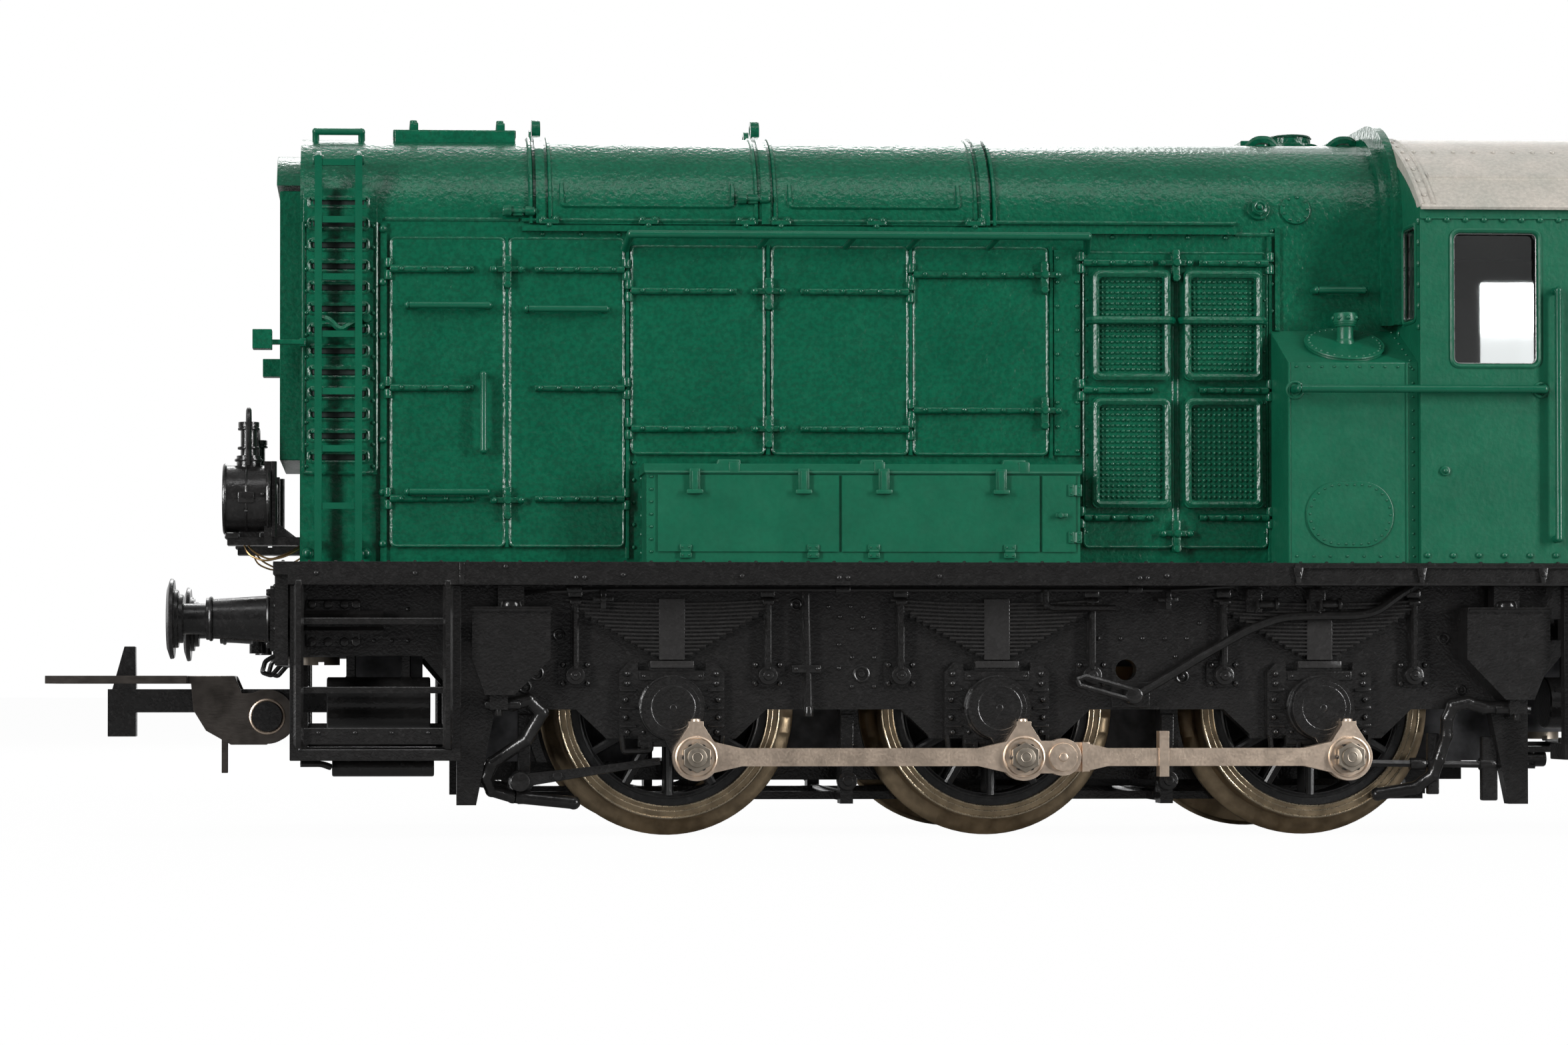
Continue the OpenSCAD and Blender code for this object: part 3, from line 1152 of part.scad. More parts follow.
module arm_front() {
  z0 = coupler_z - arm_t / 2;
  // shank with its pivot boss
  difference() {
    union() {
      translate([-arm_pivot_x, 0, z0]) cylinder(r = 1.6, h = arm_t);
      block(-hook_x[1], -arm_pivot_x, -0.8, 0.8, z0, z0 + arm_t);
      block(-rivet[0] - 1.6, -rivet[0] + 1.6, -cheek_y + 0.05, cheek_y - 0.05, rivet[1] - 1, z0 + arm_t);
    }
    translate([-arm_pivot_x, 0, z0 - 1]) cylinder(r = pivot_r + fit, h = arm_t + 2);
  }
  // hook below and above the shank
  slab(-0.8, 0.8) polygon([[-hook_x[1], z0 + arm_t - 0.1], [-hook_x[1], 6.1], [-hook_x[0], 6.1], [-hook_x[0], z0 + 0.1]]);
  slab(-0.6, 0.6) polygon([[-hook_x[1] + 0.25, z0 + arm_t - 0.1], [-hook_x[0] - 0.75, 11.9], [-hook_x[0] - 0.05, 11.9],
                         [-hook_x[0], z0 + arm_t - 0.1]]);
  // pin that the loop turns on
  cross_shaft(-rivet[0], rivet[1], 0.6, -cheek_y - loop_t - 0.1, cheek_y + loop_t + 0.1);
  both_sides() cross_shaft(-rivet[0], rivet[1], 0.95, -cheek_y - loop_t - 0.25, -cheek_y - loop_t - fit);
}

module loop_front() {
  z0 = loop_z;
  slab_y = cheek_y + loop_t;
  // flat loop with its opening
  difference() {
    block(-coupler_end, -50.3, -loop_y, loop_y, z0, z0 + loop_t);
    block(-coupler_end + 1, -51.6, -loop_y + 1, loop_y - 1, z0 - 1, z0 + 1);
  }
  block(-51.6, -47.4, -slab_y, slab_y, z0, z0 + loop_t);
  // cheeks that hang on the pin
  both_sides() slab(-slab_y, -cheek_y) difference() {
    union() {
      polygon([[-50.2, z0 + loop_t], [-47.4, z0 + loop_t], [-46.9, 8.9], [-45.3, 8.9], [-45.3, 5.6], [-47.6, 5.6],
               [-49.2, 6.5], [-50, 7.8]]);
      translate([-rivet[0], rivet[1]]) circle(1.75);
    }
    translate([-rivet[0], rivet[1]]) circle(0.6 + fit);
  }
  // tail that lifts the loop when it is pressed from below
  block(-48.2, -47.8, -slab_y, -cheek_y, 3.8, 6.3);
}

module coupler_arm_front() color("#262324") arm_front();
module coupler_arm_rear() color("#262324") mirror([1, 0, 0]) arm_front();
module coupler_loop_front() color("#6f655b") loop_front();
module coupler_loop_rear() color("#6f655b") mirror([1, 0, 0]) loop_front();

// ---------- Nodes ----------

hood_shell();
radiator_grille();
hood_fittings();
hood_ladders();
handrails();
battery_boxes();
side_tanks();
cab_shell();
cab_roof();
cab_glazing();
cab_interior();
footplate();
chassis_block();
side_frame_left();
side_frame_right();
keeper_plate();
keeper_screws();
body_screws();
buffer_beam_front();
buffer_beam_rear();
buffer_sleeves();
corner_steps();
sanding_gear();
brake_gear();
air_tanks();
lamp_bodies();
lamp_lenses();
brake_hoses();
motor_case();
circuit_board();
pickup_strips();
idler_pin();
motor_rotor();
flywheel();
worm();
idler_gear();
axle_front();
axle_middle();
axle_rear();
wheels_front();
wheels_middle();
wheels_rear();
tyres_front();
tyres_middle();
tyres_rear();
cranks_front();
cranks_middle();
cranks_rear();
rod_front_left();
rod_front_right();
rod_rear_left();
rod_rear_right();
coupler_arm_front();
coupler_arm_rear();
coupler_loop_front();
coupler_loop_rear();
buffer_front_left();
buffer_front_right();
buffer_rear_left();
buffer_rear_right();
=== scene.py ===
"""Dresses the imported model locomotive, adds its fine detail and lights it in a plain studio."""

import logging
import math
from dataclasses import dataclass
from enum import Enum

import bmesh
import bpy
from mathutils import Matrix, Vector


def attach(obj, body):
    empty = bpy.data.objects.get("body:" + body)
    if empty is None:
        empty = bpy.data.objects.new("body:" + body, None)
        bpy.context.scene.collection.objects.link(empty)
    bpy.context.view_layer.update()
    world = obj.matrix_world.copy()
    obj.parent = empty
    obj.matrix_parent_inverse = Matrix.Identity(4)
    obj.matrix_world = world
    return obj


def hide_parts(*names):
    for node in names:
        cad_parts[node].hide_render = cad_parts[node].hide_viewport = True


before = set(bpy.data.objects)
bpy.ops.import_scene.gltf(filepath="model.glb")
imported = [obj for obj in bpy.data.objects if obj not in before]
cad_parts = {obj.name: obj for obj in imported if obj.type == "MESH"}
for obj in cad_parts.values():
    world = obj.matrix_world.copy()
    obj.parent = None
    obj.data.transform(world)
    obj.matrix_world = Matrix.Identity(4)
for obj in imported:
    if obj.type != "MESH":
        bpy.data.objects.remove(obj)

LOG = logging.getLogger("locomotive")
MM = 0.001
Point = tuple[float, float, float]
Flat = tuple[float, float]
Colour = tuple[float, float, float, float]
Edges = tuple[float, float, float, float]

# The photograph's size in pixels and the camera's sensor in millimetres.
PHOTO_WIDTH, PHOTO_HEIGHT = 2352, 1568
SENSOR_WIDTH = 36.0

# Sizes in millimetres that several groups share.
DECK = 16.9
AXLES = (-20.15, 0.0, 20.15)
AXLE_Z = 8.0
BONNET_SIDE = 9.3
CAB_FRONT = 25.9

# The ways that surfaces and hoops face.
LEFT = (0.0, -1.0, 0.0)
ACROSS = (0.0, 1.0, 0.0)
FORWARD = (-1.0, 0.0, 0.0)
BACKWARD = (1.0, 0.0, 0.0)
UPWARD = (0.0, 0.0, 1.0)


# ---------------------------------------------------------------- finishes

WHITE = (1.0, 1.0, 1.0, 1.0)
# Near black painted over the inside of the cab, as painted shade.
CAB_INSIDE_SHADE = (0.006, 0.006, 0.006, 1.0)


class Slot(Enum):
    """Names of the material slots for the pieces."""

    GREEN = "green_paint"
    ROOF = "roof_paint"
    BLACK = "black_plastic"
    CHASSIS = "chassis_metal"
    ROD = "rod_metal"
    TYRE = "tyre_metal"
    WHEEL = "wheel_plastic"
    AXLE = "axle_steel"
    CRANK = "crank_metal"
    COUPLER = "coupler_metal"
    HOOK = "coupler_plastic"
    WINDOW = "window_clear"
    LENS = "lamp_clear"
    SCREW = "screw_steel"
    MOTOR = "motor_metal"
    ROTOR = "rotor_metal"
    GEAR = "gear_brass"
    NYLON = "gear_nylon"
    BOARD = "board_green"
    PICKUP = "pickup_bronze"
    INTERIOR = "interior_plastic"


class NodeTree:
    """A node tree with short ways to add and join nodes."""

    def __init__(self, owner: bpy.types.Material | bpy.types.World, output: str) -> None:
        """Empties a material's or world's node tree.

        Args:
            owner: What the tree belongs to.
            output: The type name of its output node.
        """
        owner.use_nodes = True
        self.tree = owner.node_tree
        self.tree.nodes.clear()
        self.output = self.tree.nodes.new(output)

    def node(self, kind: str, **settings: object) -> bpy.types.Node:
        """Adds a node and sets its attributes.

        Args:
            kind: The node's type name.
            **settings: Attribute names and values.

        Returns:
            The new node.
        """
        made = self.tree.nodes.new(kind)
        for key, value in settings.items():
            setattr(made, key, value)
        return made

    def join(self, source: bpy.types.NodeSocket, target: bpy.types.NodeSocket) -> None:
        """Links one socket to another."""
        self.tree.links.new(source, target)

    def calculate(self, operation: str, *values: bpy.types.NodeSocket | float) -> bpy.types.NodeSocket:
        """Adds a sum.

        Args:
            operation: What it does with its values.
            *values: Sockets or numbers that it works on.

        Returns:
            The result's socket.
        """
        made = self.node("ShaderNodeMath", operation=operation)
        for value, socket in zip(values, made.inputs):
            if isinstance(value, bpy.types.NodeSocket):
                self.join(value, socket)
            else:
                socket.default_value = value
        return made.outputs["Value"]


class NodeSheet(NodeTree):
    """A material's node tree with the patterns that the finishes use."""

    def __init__(self, name: str) -> None:
        """Makes an empty node material.

        Args:
            name: The material's name.
        """
        self.material = bpy.data.materials.new(name)
        super().__init__(self.material, "ShaderNodeOutputMaterial")

    def place(self, scale: Point = (1.0, 1.0, 1.0)) -> bpy.types.NodeSocket:
        """Gives Object coordinates in millimetres, stretched by a scale.

        Args:
            scale: How many pattern units a millimetre takes along each axis.

        Returns:
            The vector socket.
        """
        coordinates = self.node("ShaderNodeTexCoord")
        mapping = self.node("ShaderNodeMapping")
        mapping.inputs["Scale"].default_value = tuple(s / MM for s in scale)
        self.join(coordinates.outputs["Object"], mapping.inputs["Vector"])
        return mapping.outputs["Vector"]

    def noise(self, place: bpy.types.NodeSocket, scale: float, detail: float = 3.0) -> bpy.types.NodeSocket:
        """Adds a noise pattern.

        Args:
            place: Coordinates to read.
            scale: Size factor of the pattern.
            detail: How many finer layers it has.

        Returns:
            The pattern's value socket.
        """
        noise = self.node("ShaderNodeTexNoise")
        noise.inputs["Scale"].default_value = scale
        noise.inputs["Detail"].default_value = detail
        self.join(place, noise.inputs["Vector"])
        return noise.outputs["Fac"]

    def ramp(self, value: bpy.types.NodeSocket, stops: list[tuple[float, Colour]]) -> bpy.types.NodeSocket:
        """Adds a colour ramp.

        Args:
            value: The socket that drives it.
            stops: Places and colours along it.

        Returns:
            The colour socket.
        """
        ramp = self.node("ShaderNodeValToRGB")
        elements = ramp.color_ramp.elements
        while len(elements) < len(stops):
            elements.new(0.5)
        for element, (place, colour) in zip(elements, stops):
            element.position = place
            element.color = colour
        self.join(value, ramp.inputs["Fac"])
        return ramp.outputs["Color"]

    def span(self, value: bpy.types.NodeSocket, low: float, high: float) -> bpy.types.NodeSocket:
        """Maps a pattern from 0..1 to a range.

        Args:
            value: The pattern.
            low: Result at 0.
            high: Result at 1.

        Returns:
            The mapped value socket.
        """
        mapped = self.node("ShaderNodeMapRange")
        mapped.inputs["To Min"].default_value = low
        mapped.inputs["To Max"].default_value = high
        self.join(value, mapped.inputs["Value"])
        return mapped.outputs["Result"]

    def bump(self, height: bpy.types.NodeSocket, strength: float, depth: float) -> bpy.types.NodeSocket:
        """Adds a bump from a height pattern.

        Args:
            height: The pattern.
            strength: How strongly it tilts the surface.
            depth: Its height in millimetres.

        Returns:
            The normal socket.
        """
        bump = self.node("ShaderNodeBump")
        bump.inputs["Strength"].default_value = strength
        bump.inputs["Distance"].default_value = depth * MM
        self.join(height, bump.inputs["Height"])
        return bump.outputs["Normal"]

    def inside(self, place: bpy.types.NodeSocket, low: Point, high: Point) -> bpy.types.NodeSocket:
        """Tells whether a point lies inside a box.

        Args:
            place: Coordinates in millimetres.
            low: The box's lowest corner.
            high: Its highest corner.

        Returns:
            A socket that is 1 inside and 0 outside.
        """
        split = self.node("ShaderNodeSeparateXYZ")
        self.join(place, split.inputs["Vector"])
        result = None
        for axis, a, b in zip("XYZ", low, high):
            away = self.calculate("SUBTRACT", split.outputs[axis], (a + b) / 2)
            near = self.calculate("LESS_THAN", self.calculate("ABSOLUTE", away), (b - a) / 2)
            result = near if result is None else self.calculate("MULTIPLY", result, near)
        return result

    def blend(self, kind: str, factor: bpy.types.NodeSocket | float, base: bpy.types.NodeSocket,
              top: bpy.types.NodeSocket | Colour) -> bpy.types.NodeSocket:
        """Lays one colour over another.

        Args:
            kind: How the two are mixed.
            factor: How much of the upper one counts.
            base: The lower colour.
            top: The upper colour.

        Returns:
            The mixed colour's socket.
        """
        mix = self.node("ShaderNodeMix", data_type="RGBA", blend_type=kind)
        for key, value in (("Factor", factor), ("A", base), ("B", top)):
            if isinstance(value, bpy.types.NodeSocket):
                self.join(value, mix.inputs[key])
            else:
                mix.inputs[key].default_value = value
        return mix.outputs["Result"]

    def shader(self, **values: object) -> bpy.types.Node:
        """Adds the surface shader and joins it to the output.

        Args:
            **values: Socket names, with underscores for spaces, and their values.

        Returns:
            The shader node.
        """
        shader = self.node("ShaderNodeBsdfPrincipled")
        for key, value in values.items():
            shader.inputs[key.replace("_", " ")].default_value = value
        self.join(shader.outputs["BSDF"], self.output.inputs["Surface"])
        return shader


@dataclass(frozen=True)
class Finish:
    """A surface finish that makes its own material."""

    name: str
    colour: Colour

    def material(self) -> bpy.types.Material:
        """Gives the finish's material, made on first use."""
        found = bpy.data.materials.get(self.name)
        return found if found else self.make()

    def make(self) -> bpy.types.Material:
        """Builds the material."""
        raise NotImplementedError


@dataclass(frozen=True)
class SprayPaint(Finish):
    """Satin sprayed paint with a fine orange-skin texture, bumped and also painted as lump shade, and a
    little dust tone.
    """

    roughness: float = 0.22
    peel_and_shade: float = 0.7
    peel_depth: float = 0.085
    lump_scale: float = 3.8
    glint_fleck: float = 0.0
    shaded_room: tuple[Point, Point] | None = None

    def make(self) -> bpy.types.Material:
        """Builds the paint.

        Returns:
            The paint's material.
        """
        sheet = NodeSheet(self.name)
        place = sheet.place()
        r, g, b, _ = self.colour
        cloud = sheet.noise(place, 0.35, 4.0)
        colour = sheet.ramp(
            cloud,
            [(0.25, (r * 0.86, g * 0.88, b * 0.88, 1.0)), (0.75, (r * 1.15 + 0.001, g * 1.1, b * 1.1, 1.0))],
        )
        # Painted shade: a noise pattern darkens the paint in lumps, standing in for the light and shade on
        # the orange-skin texture.
        shade_lumps = sheet.noise(place, self.lump_scale, 2.0)
        painted_peel_shade = sheet.ramp(shade_lumps, [(0.36, (0.62, 0.62, 0.62, 1.0)), (0.62, WHITE)])
        colour = sheet.blend("MULTIPLY", self.peel_and_shade, colour, painted_peel_shade)
        shader = sheet.shader(Roughness=self.roughness, Specular_IOR_Level=0.5)
        if self.glint_fleck:
            # Painted glints: white flecks are added to the base colour, standing in for light caught by
            # metallic paint.
            painted_glint = sheet.ramp(sheet.noise(place, 9.0, 2.0), [(0.52, (0.0, 0.0, 0.0, 1.0)), (0.72, WHITE)])
            amount = sheet.span(painted_glint, 0.0, self.glint_fleck)
            colour = sheet.blend("ADD", amount, colour, (1.0, 1.0, 0.97, 1.0))
        # Painted shade: faces inside the box are painted near black, for the shade inside the cab.
        if self.shaded_room:
            colour = sheet.blend("MIX", sheet.inside(place, *self.shaded_room), colour, CAB_INSIDE_SHADE)
        sheet.join(colour, shader.inputs["Base Color"])
        sheet.join(sheet.span(sheet.noise(place, 1.3, 3.0), self.roughness - 0.07, self.roughness + 0.1),
                   shader.inputs["Roughness"])
        sheet.join(
            sheet.bump(sheet.noise(place, 3.4, 3.0), self.peel_and_shade, self.peel_depth), shader.inputs["Normal"]
        )
        return sheet.material


@dataclass(frozen=True)
class Moulding(Finish):
    """Satin moulded plastic with a fine grain and painted glints on some of its cells."""

    roughness: float = 0.22
    grain: float = 0.35
    glint: float = 0.016
    grain_depth: float = 0.055

    def make(self) -> bpy.types.Material:
        """Builds the moulded plastic.

        Returns:
            The plastic's material.
        """
        sheet = NodeSheet(self.name)
        place = sheet.place()
        r, g, b, _ = self.colour
        # Painted glints: random grain cells are lightened by up to half the glint amount, standing in for
        # light caught by the grain.
        glint_cells = sheet.node("ShaderNodeTexVoronoi", feature="F1")
        glint_cells.inputs["Scale"].default_value = 6.0
        sheet.join(place, glint_cells.inputs["Vector"])
        tone = sheet.ramp(
            glint_cells.outputs["Color"],
            [
                (0.55, (r, g, b, 1.0)),
                (0.95, (r + self.glint * 0.5, g + self.glint * 0.48, b + self.glint * 0.48, 1.0)),
            ],
        )
        shader = sheet.shader(Specular_IOR_Level=0.6)
        sheet.join(tone, shader.inputs["Base Color"])
        sheet.join(sheet.span(sheet.noise(place, 1.7, 4.0), self.roughness - 0.1, self.roughness + 0.12),
                   shader.inputs["Roughness"])
        sheet.join(
            sheet.bump(sheet.noise(place, 6.5, 2.0), self.grain, self.grain_depth), shader.inputs["Normal"]
        )
        return sheet.material


@dataclass(frozen=True)
class Metal(Finish):
    """Bare metal with brushed or turned streaks and darker stains."""

    roughness: float = 0.32
    streak: Point = (0.4, 6.0, 6.0)
    stain: float = 0.35

    def make(self) -> bpy.types.Material:
        """Builds the metal.

        Returns:
            The metal's material.
        """
        sheet = NodeSheet(self.name)
        r, g, b, _ = self.colour
        blotch = sheet.noise(sheet.place(), 0.9, 5.0)
        keep = 1.0 - self.stain
        colour = sheet.ramp(blotch, [(0.3, (r * keep, g * keep, b * keep, 1.0)), (0.6, (r, g, b, 1.0))])
        lines = sheet.noise(sheet.place(self.streak), 2.5, 4.0)
        shader = sheet.shader(Metallic=1.0)
        sheet.join(colour, shader.inputs["Base Color"])
        sheet.join(sheet.span(lines, self.roughness - 0.1, self.roughness + 0.16), shader.inputs["Roughness"])
        sheet.join(sheet.bump(lines, 0.2, 0.02), shader.inputs["Normal"])
        return sheet.material


@dataclass(frozen=True)
class Pane(Finish):
    """Clear glazing with a faint moulding wave."""

    def make(self) -> bpy.types.Material:
        """Builds the clear glazing.

        Returns:
            The glazing's material.
        """
        sheet = NodeSheet(self.name)
        shader = sheet.shader(Roughness=0.04, IOR=1.46, Transmission_Weight=1.0)
        shader.inputs["Base Color"].default_value = self.colour
        wave = sheet.noise(sheet.place(), 0.3, 1.0)
        sheet.join(sheet.bump(wave, 0.04, 0.1), shader.inputs["Normal"])
        return sheet.material


GREEN = SprayPaint("locomotive_green", (0.002, 0.104, 0.053, 1.0))
PANEL_GREEN = SprayPaint("panel_green", (0.004, 0.118, 0.061, 1.0), roughness=0.34, peel_and_shade=0.25)
CAB_GREEN = SprayPaint("cab_green", (0.004, 0.118, 0.061, 1.0), roughness=0.34, peel_and_shade=0.25,
                       shaded_room=((26.1, -14.25, 17.0), (44.0, 14.25, 44.0)))
# Near-black green for blocks in the louvres, as painted shadow.
LOUVRE_SHADOW_GREEN = SprayPaint("louvre_shadow_green", (0.001, 0.012, 0.008, 1.0), roughness=0.5, peel_and_shade=0.3)
RAIL_GREEN = SprayPaint("rail_green", (0.002, 0.1, 0.052, 1.0), roughness=0.28, peel_and_shade=0.12)
# The roof paint carries painted glints of white flecks.
ROOF_GREY = SprayPaint("roof_metallic", (0.5, 0.475, 0.42, 1.0), roughness=0.42, peel_and_shade=0.4, glint_fleck=0.06)
# Painted highlight: the springs take a lighter black than the frames, standing in for light on their leaves.
LIT_SPRING_BLACK = Moulding("lit_spring_black", (0.024, 0.023, 0.0225, 1.0), roughness=0.26, grain=0.2)
FRAME_BLACK = Moulding("frame_black", (0.0105, 0.01, 0.0098, 1.0))
GLOSS_BLACK = Moulding("buffer_black", (0.008, 0.0075, 0.0075, 1.0), roughness=0.27, grain=0.2, glint=0.025)
WHEEL_BLACK = Moulding("wheel_black", (0.006, 0.006, 0.0062, 1.0), roughness=0.3, grain=0.2, glint=0.02)
CAB_DARK = Moulding("cab_dark", (0.009, 0.008, 0.0075, 1.0), roughness=0.55, grain=0.1, glint=0.0)
DIE_CAST = Metal("die_cast", (0.12, 0.12, 0.125, 1.0), roughness=0.5, streak=(1.0, 1.0, 1.0), stain=0.5)
NICKEL = Metal("rod_nickel", (0.98, 0.79, 0.63, 1.0), roughness=0.36, streak=(2.6, 2.6, 2.6), stain=0.28)
TYRE = Metal("tyre_bronze_nickel", (0.52, 0.4, 0.26, 1.0), roughness=0.3, streak=(3.0, 12.0, 3.0), stain=0.45)
# A brighter tyre metal for the edge rings, as painted highlight.
TYRE_EDGE_HIGHLIGHT = Metal("tyre_edge_highlight", (0.85, 0.72, 0.52, 1.0), roughness=0.26, streak=(3.0, 3.0, 3.0), stain=0.4)
STEEL = Metal("axle_steel_bare", (0.5, 0.5, 0.52, 1.0), roughness=0.3, streak=(5.0, 0.5, 5.0), stain=0.3)
NUT = Metal("nut_steel", (0.46, 0.4, 0.33, 1.0), roughness=0.38, streak=(2.0, 2.0, 2.0), stain=0.4)
COUPLING = Metal("coupling_steel", (0.17, 0.15, 0.135, 1.0), roughness=0.3, streak=(0.6, 4.0, 4.0), stain=0.4)
WINDOW_RIM = Metal("window_rim", (0.5, 0.5, 0.49, 1.0), roughness=0.25, streak=(1.0, 1.0, 1.0), stain=0.1)
BRASS = Metal("gear_brass_bare", (0.72, 0.52, 0.2, 1.0), roughness=0.3, streak=(4.0, 1.0, 4.0), stain=0.25)
COPPER = Metal("rotor_copper", (0.6, 0.3, 0.16, 1.0), roughness=0.35, streak=(0.5, 8.0, 8.0), stain=0.3)
BRONZE = Metal(
    "pickup_bronze_bare", (0.62, 0.4, 0.18, 1.0), roughness=0.3, streak=(0.5, 4.0, 4.0), stain=0.25
)
NYLON = Moulding("gear_ivory", (0.7, 0.66, 0.55, 1.0), roughness=0.45, grain=0.1, glint=0.02)
BOARD = Moulding("board_lacquer", (0.015, 0.11, 0.035, 1.0), roughness=0.3, grain=0.1, glint=0.02)
GLASS = Pane("window_glass", (0.93, 0.95, 0.95, 1.0))
LENS = Pane("lamp_glass", (0.95, 0.95, 0.9, 1.0))


# ---------------------------------------------------------------- modelling tools


def clear_selection() -> None:
    """Leaves edit mode and deselects every object."""
    if bpy.context.object and bpy.context.object.mode != "OBJECT":
        bpy.ops.object.mode_set(mode="OBJECT")
    bpy.ops.object.select_all(action="DESELECT")


def pick(*objects: bpy.types.Object) -> None:
    """Selects only these objects and makes the first one active."""
    clear_selection()
    for item in objects:
        item.select_set(True)
    bpy.context.view_layer.objects.active = objects[0]


def bake_place(item: bpy.types.Object) -> bpy.types.Object:
    """Moves an object's place into its mesh."""
    pick(item)
    bpy.ops.object.transform_apply(location=True, rotation=True, scale=True)
    return item


def press(item: bpy.types.Object, kind: str, **settings: object) -> bpy.types.Object:
    """Adds a modifier and applies it.

    Args:
        item: The object to change.
        kind: The modifier's type.
        **settings: The modifier's attributes.

    Returns:
        The changed object.
    """
    pick(item)
    modifier = item.modifiers.new(kind.title(), kind)
    for key, value in settings.items():
        setattr(modifier, key, value)
    bpy.ops.object.modifier_apply(modifier=modifier.name)
    return item


def rounded(item: bpy.types.Object, width: float, segments: int = 2, angle: float = 35.0) -> bpy.types.Object:
    """Bevels the sharp edges of a piece.

    Args:
        item: The piece, in millimetres.
        width: The bevel's width.
        segments: How many strips it has.
        angle: Edges sharper than this many degrees are bevelled.

    Returns:
        The piece.
    """
    return press(item, "BEVEL", width=width, segments=segments, limit_method="ANGLE",
                 angle_limit=math.radians(angle), use_clamp_overlap=True)


def block(low: Point, high: Point, soften: float = 0.0) -> bpy.types.Object:
    """Makes a box between two corners.

    Args:
        low: Lowest corner in millimetres.
        high: Highest corner in millimetres.
        soften: Width of the bevel on its edges.

    Returns:
        The box.
    """
    clear_selection()
    centre = [(a + b) / 2 for a, b in zip(low, high)]
    bpy.ops.mesh.primitive_cube_add(size=1, location=centre)
    item = bpy.context.object
    item.scale = [b - a for a, b in zip(low, high)]
    bake_place(item)
    return rounded(item, soften) if soften else item


def aim(direction: Vector) -> Matrix:
    """Gives the turn that takes +Z to a direction."""
    return direction.to_track_quat("Z", "Y").to_matrix().to_4x4()


def drum(start: Point, end: Point, radius: float, top: float | None = None, sides: int = 24,
         soften: float = 0.0) -> bpy.types.Object:
    """Makes a round bar or cone between two points.

    Args:
        start: Centre of its first end.
        end: Centre of its other end.
        radius: Radius at the first end.
        top: Radius at the other end, if it differs.
        sides: How many sides it has.
        soften: Width of the bevel on its rims.

    Returns:
        The bar.
    """
    clear_selection()
    a, b = Vector(start), Vector(end)
    bpy.ops.mesh.primitive_cone_add(vertices=sides, radius1=radius, radius2=radius if top is None else top,
                                    depth=(b - a).length)
    item = bpy.context.object
    item.matrix_world = Matrix.Translation((a + b) / 2) @ aim(b - a)
    bake_place(item)
    return rounded(item, soften, angle=50.0) if soften else item


def bar(x: float | Flat, y: float | Flat, z: float | Flat, radius: float, top: float | None = None,
        sides: int = 24, soften: float = 0.0) -> bpy.types.Object:
    """Makes a round bar that runs along one axis.

    Args:
        x: Its place along the model, or where it starts and ends.
        y: Its place across the model, or where it starts and ends.
        z: Its height, or where it starts and ends.
        radius: Radius at its start.
        top: Radius at its end, if it differs.
        sides: How many sides it has.
        soften: Width of the bevel on its rims.

    Returns:
        The bar.
    """
    spans = [place if isinstance(place, tuple) else (place, place) for place in (x, y, z)]
    start, end = zip(*spans)
    return drum(start, end, radius, top, sides, soften)


def dome(radius: float, height: float, sides: int = 8) -> bpy.types.Object:
    """Makes a rivet head that stands on z = 0.

    Args:
        radius: Its radius.
        height: Its height.
        sides: How many sides it has.

    Returns:
        The rivet head.
    """
    clear_selection()
    bpy.ops.mesh.primitive_uv_sphere_add(segments=sides, ring_count=6, radius=radius)
    item = bpy.context.object
    bpy.ops.object.mode_set(mode="EDIT")
    bpy.ops.mesh.select_all(action="SELECT")
    bpy.ops.mesh.bisect(
        plane_co=(0, 0, 0), plane_no=(0, 0, 1), clear_inner=True, use_fill=True, threshold=1e-5
    )
    bpy.ops.mesh.select_all(action="SELECT")
    bpy.ops.transform.resize(value=(1, 1, height / radius))
    bpy.ops.object.mode_set(mode="OBJECT")
    return bake_place(item)


def plate(
    outline: list[Flat], low: float, high: float, axis: str = "Y", soften: float = 0.0
) -> bpy.types.Object:
    """Makes a plate from its outline.

    Args:
        outline: Its corners in the two other axes, in the order X, Y, Z.
        low: Lowest place along the axis.
        high: Highest place along the axis.
        axis: The axis that it is extruded along.
        soften: Width of the bevel on its edges.

    Returns:
        The plate.
    """
    order = "XYZ".index(axis)
    clear_selection()
    bpy.ops.mesh.primitive_circle_add(vertices=len(outline), radius=1.0, fill_type="NGON")
    item = bpy.context.object
    for corner, (u, v) in zip(item.data.vertices, outline):
        spot = [u, v]
        spot.insert(order, low)
        corner.co = spot
    bpy.ops.object.mode_set(mode="EDIT")
    bpy.ops.mesh.select_all(action="SELECT")
    step = [0.0, 0.0, 0.0]
    step[order] = high - low
    bpy.ops.mesh.extrude_region_move(TRANSFORM_OT_translate={"value": step})
    bpy.ops.mesh.select_all(action="SELECT")
    bpy.ops.mesh.normals_make_consistent(inside=False)
    bpy.ops.object.mode_set(mode="OBJECT")
    return rounded(item, soften) if soften else item


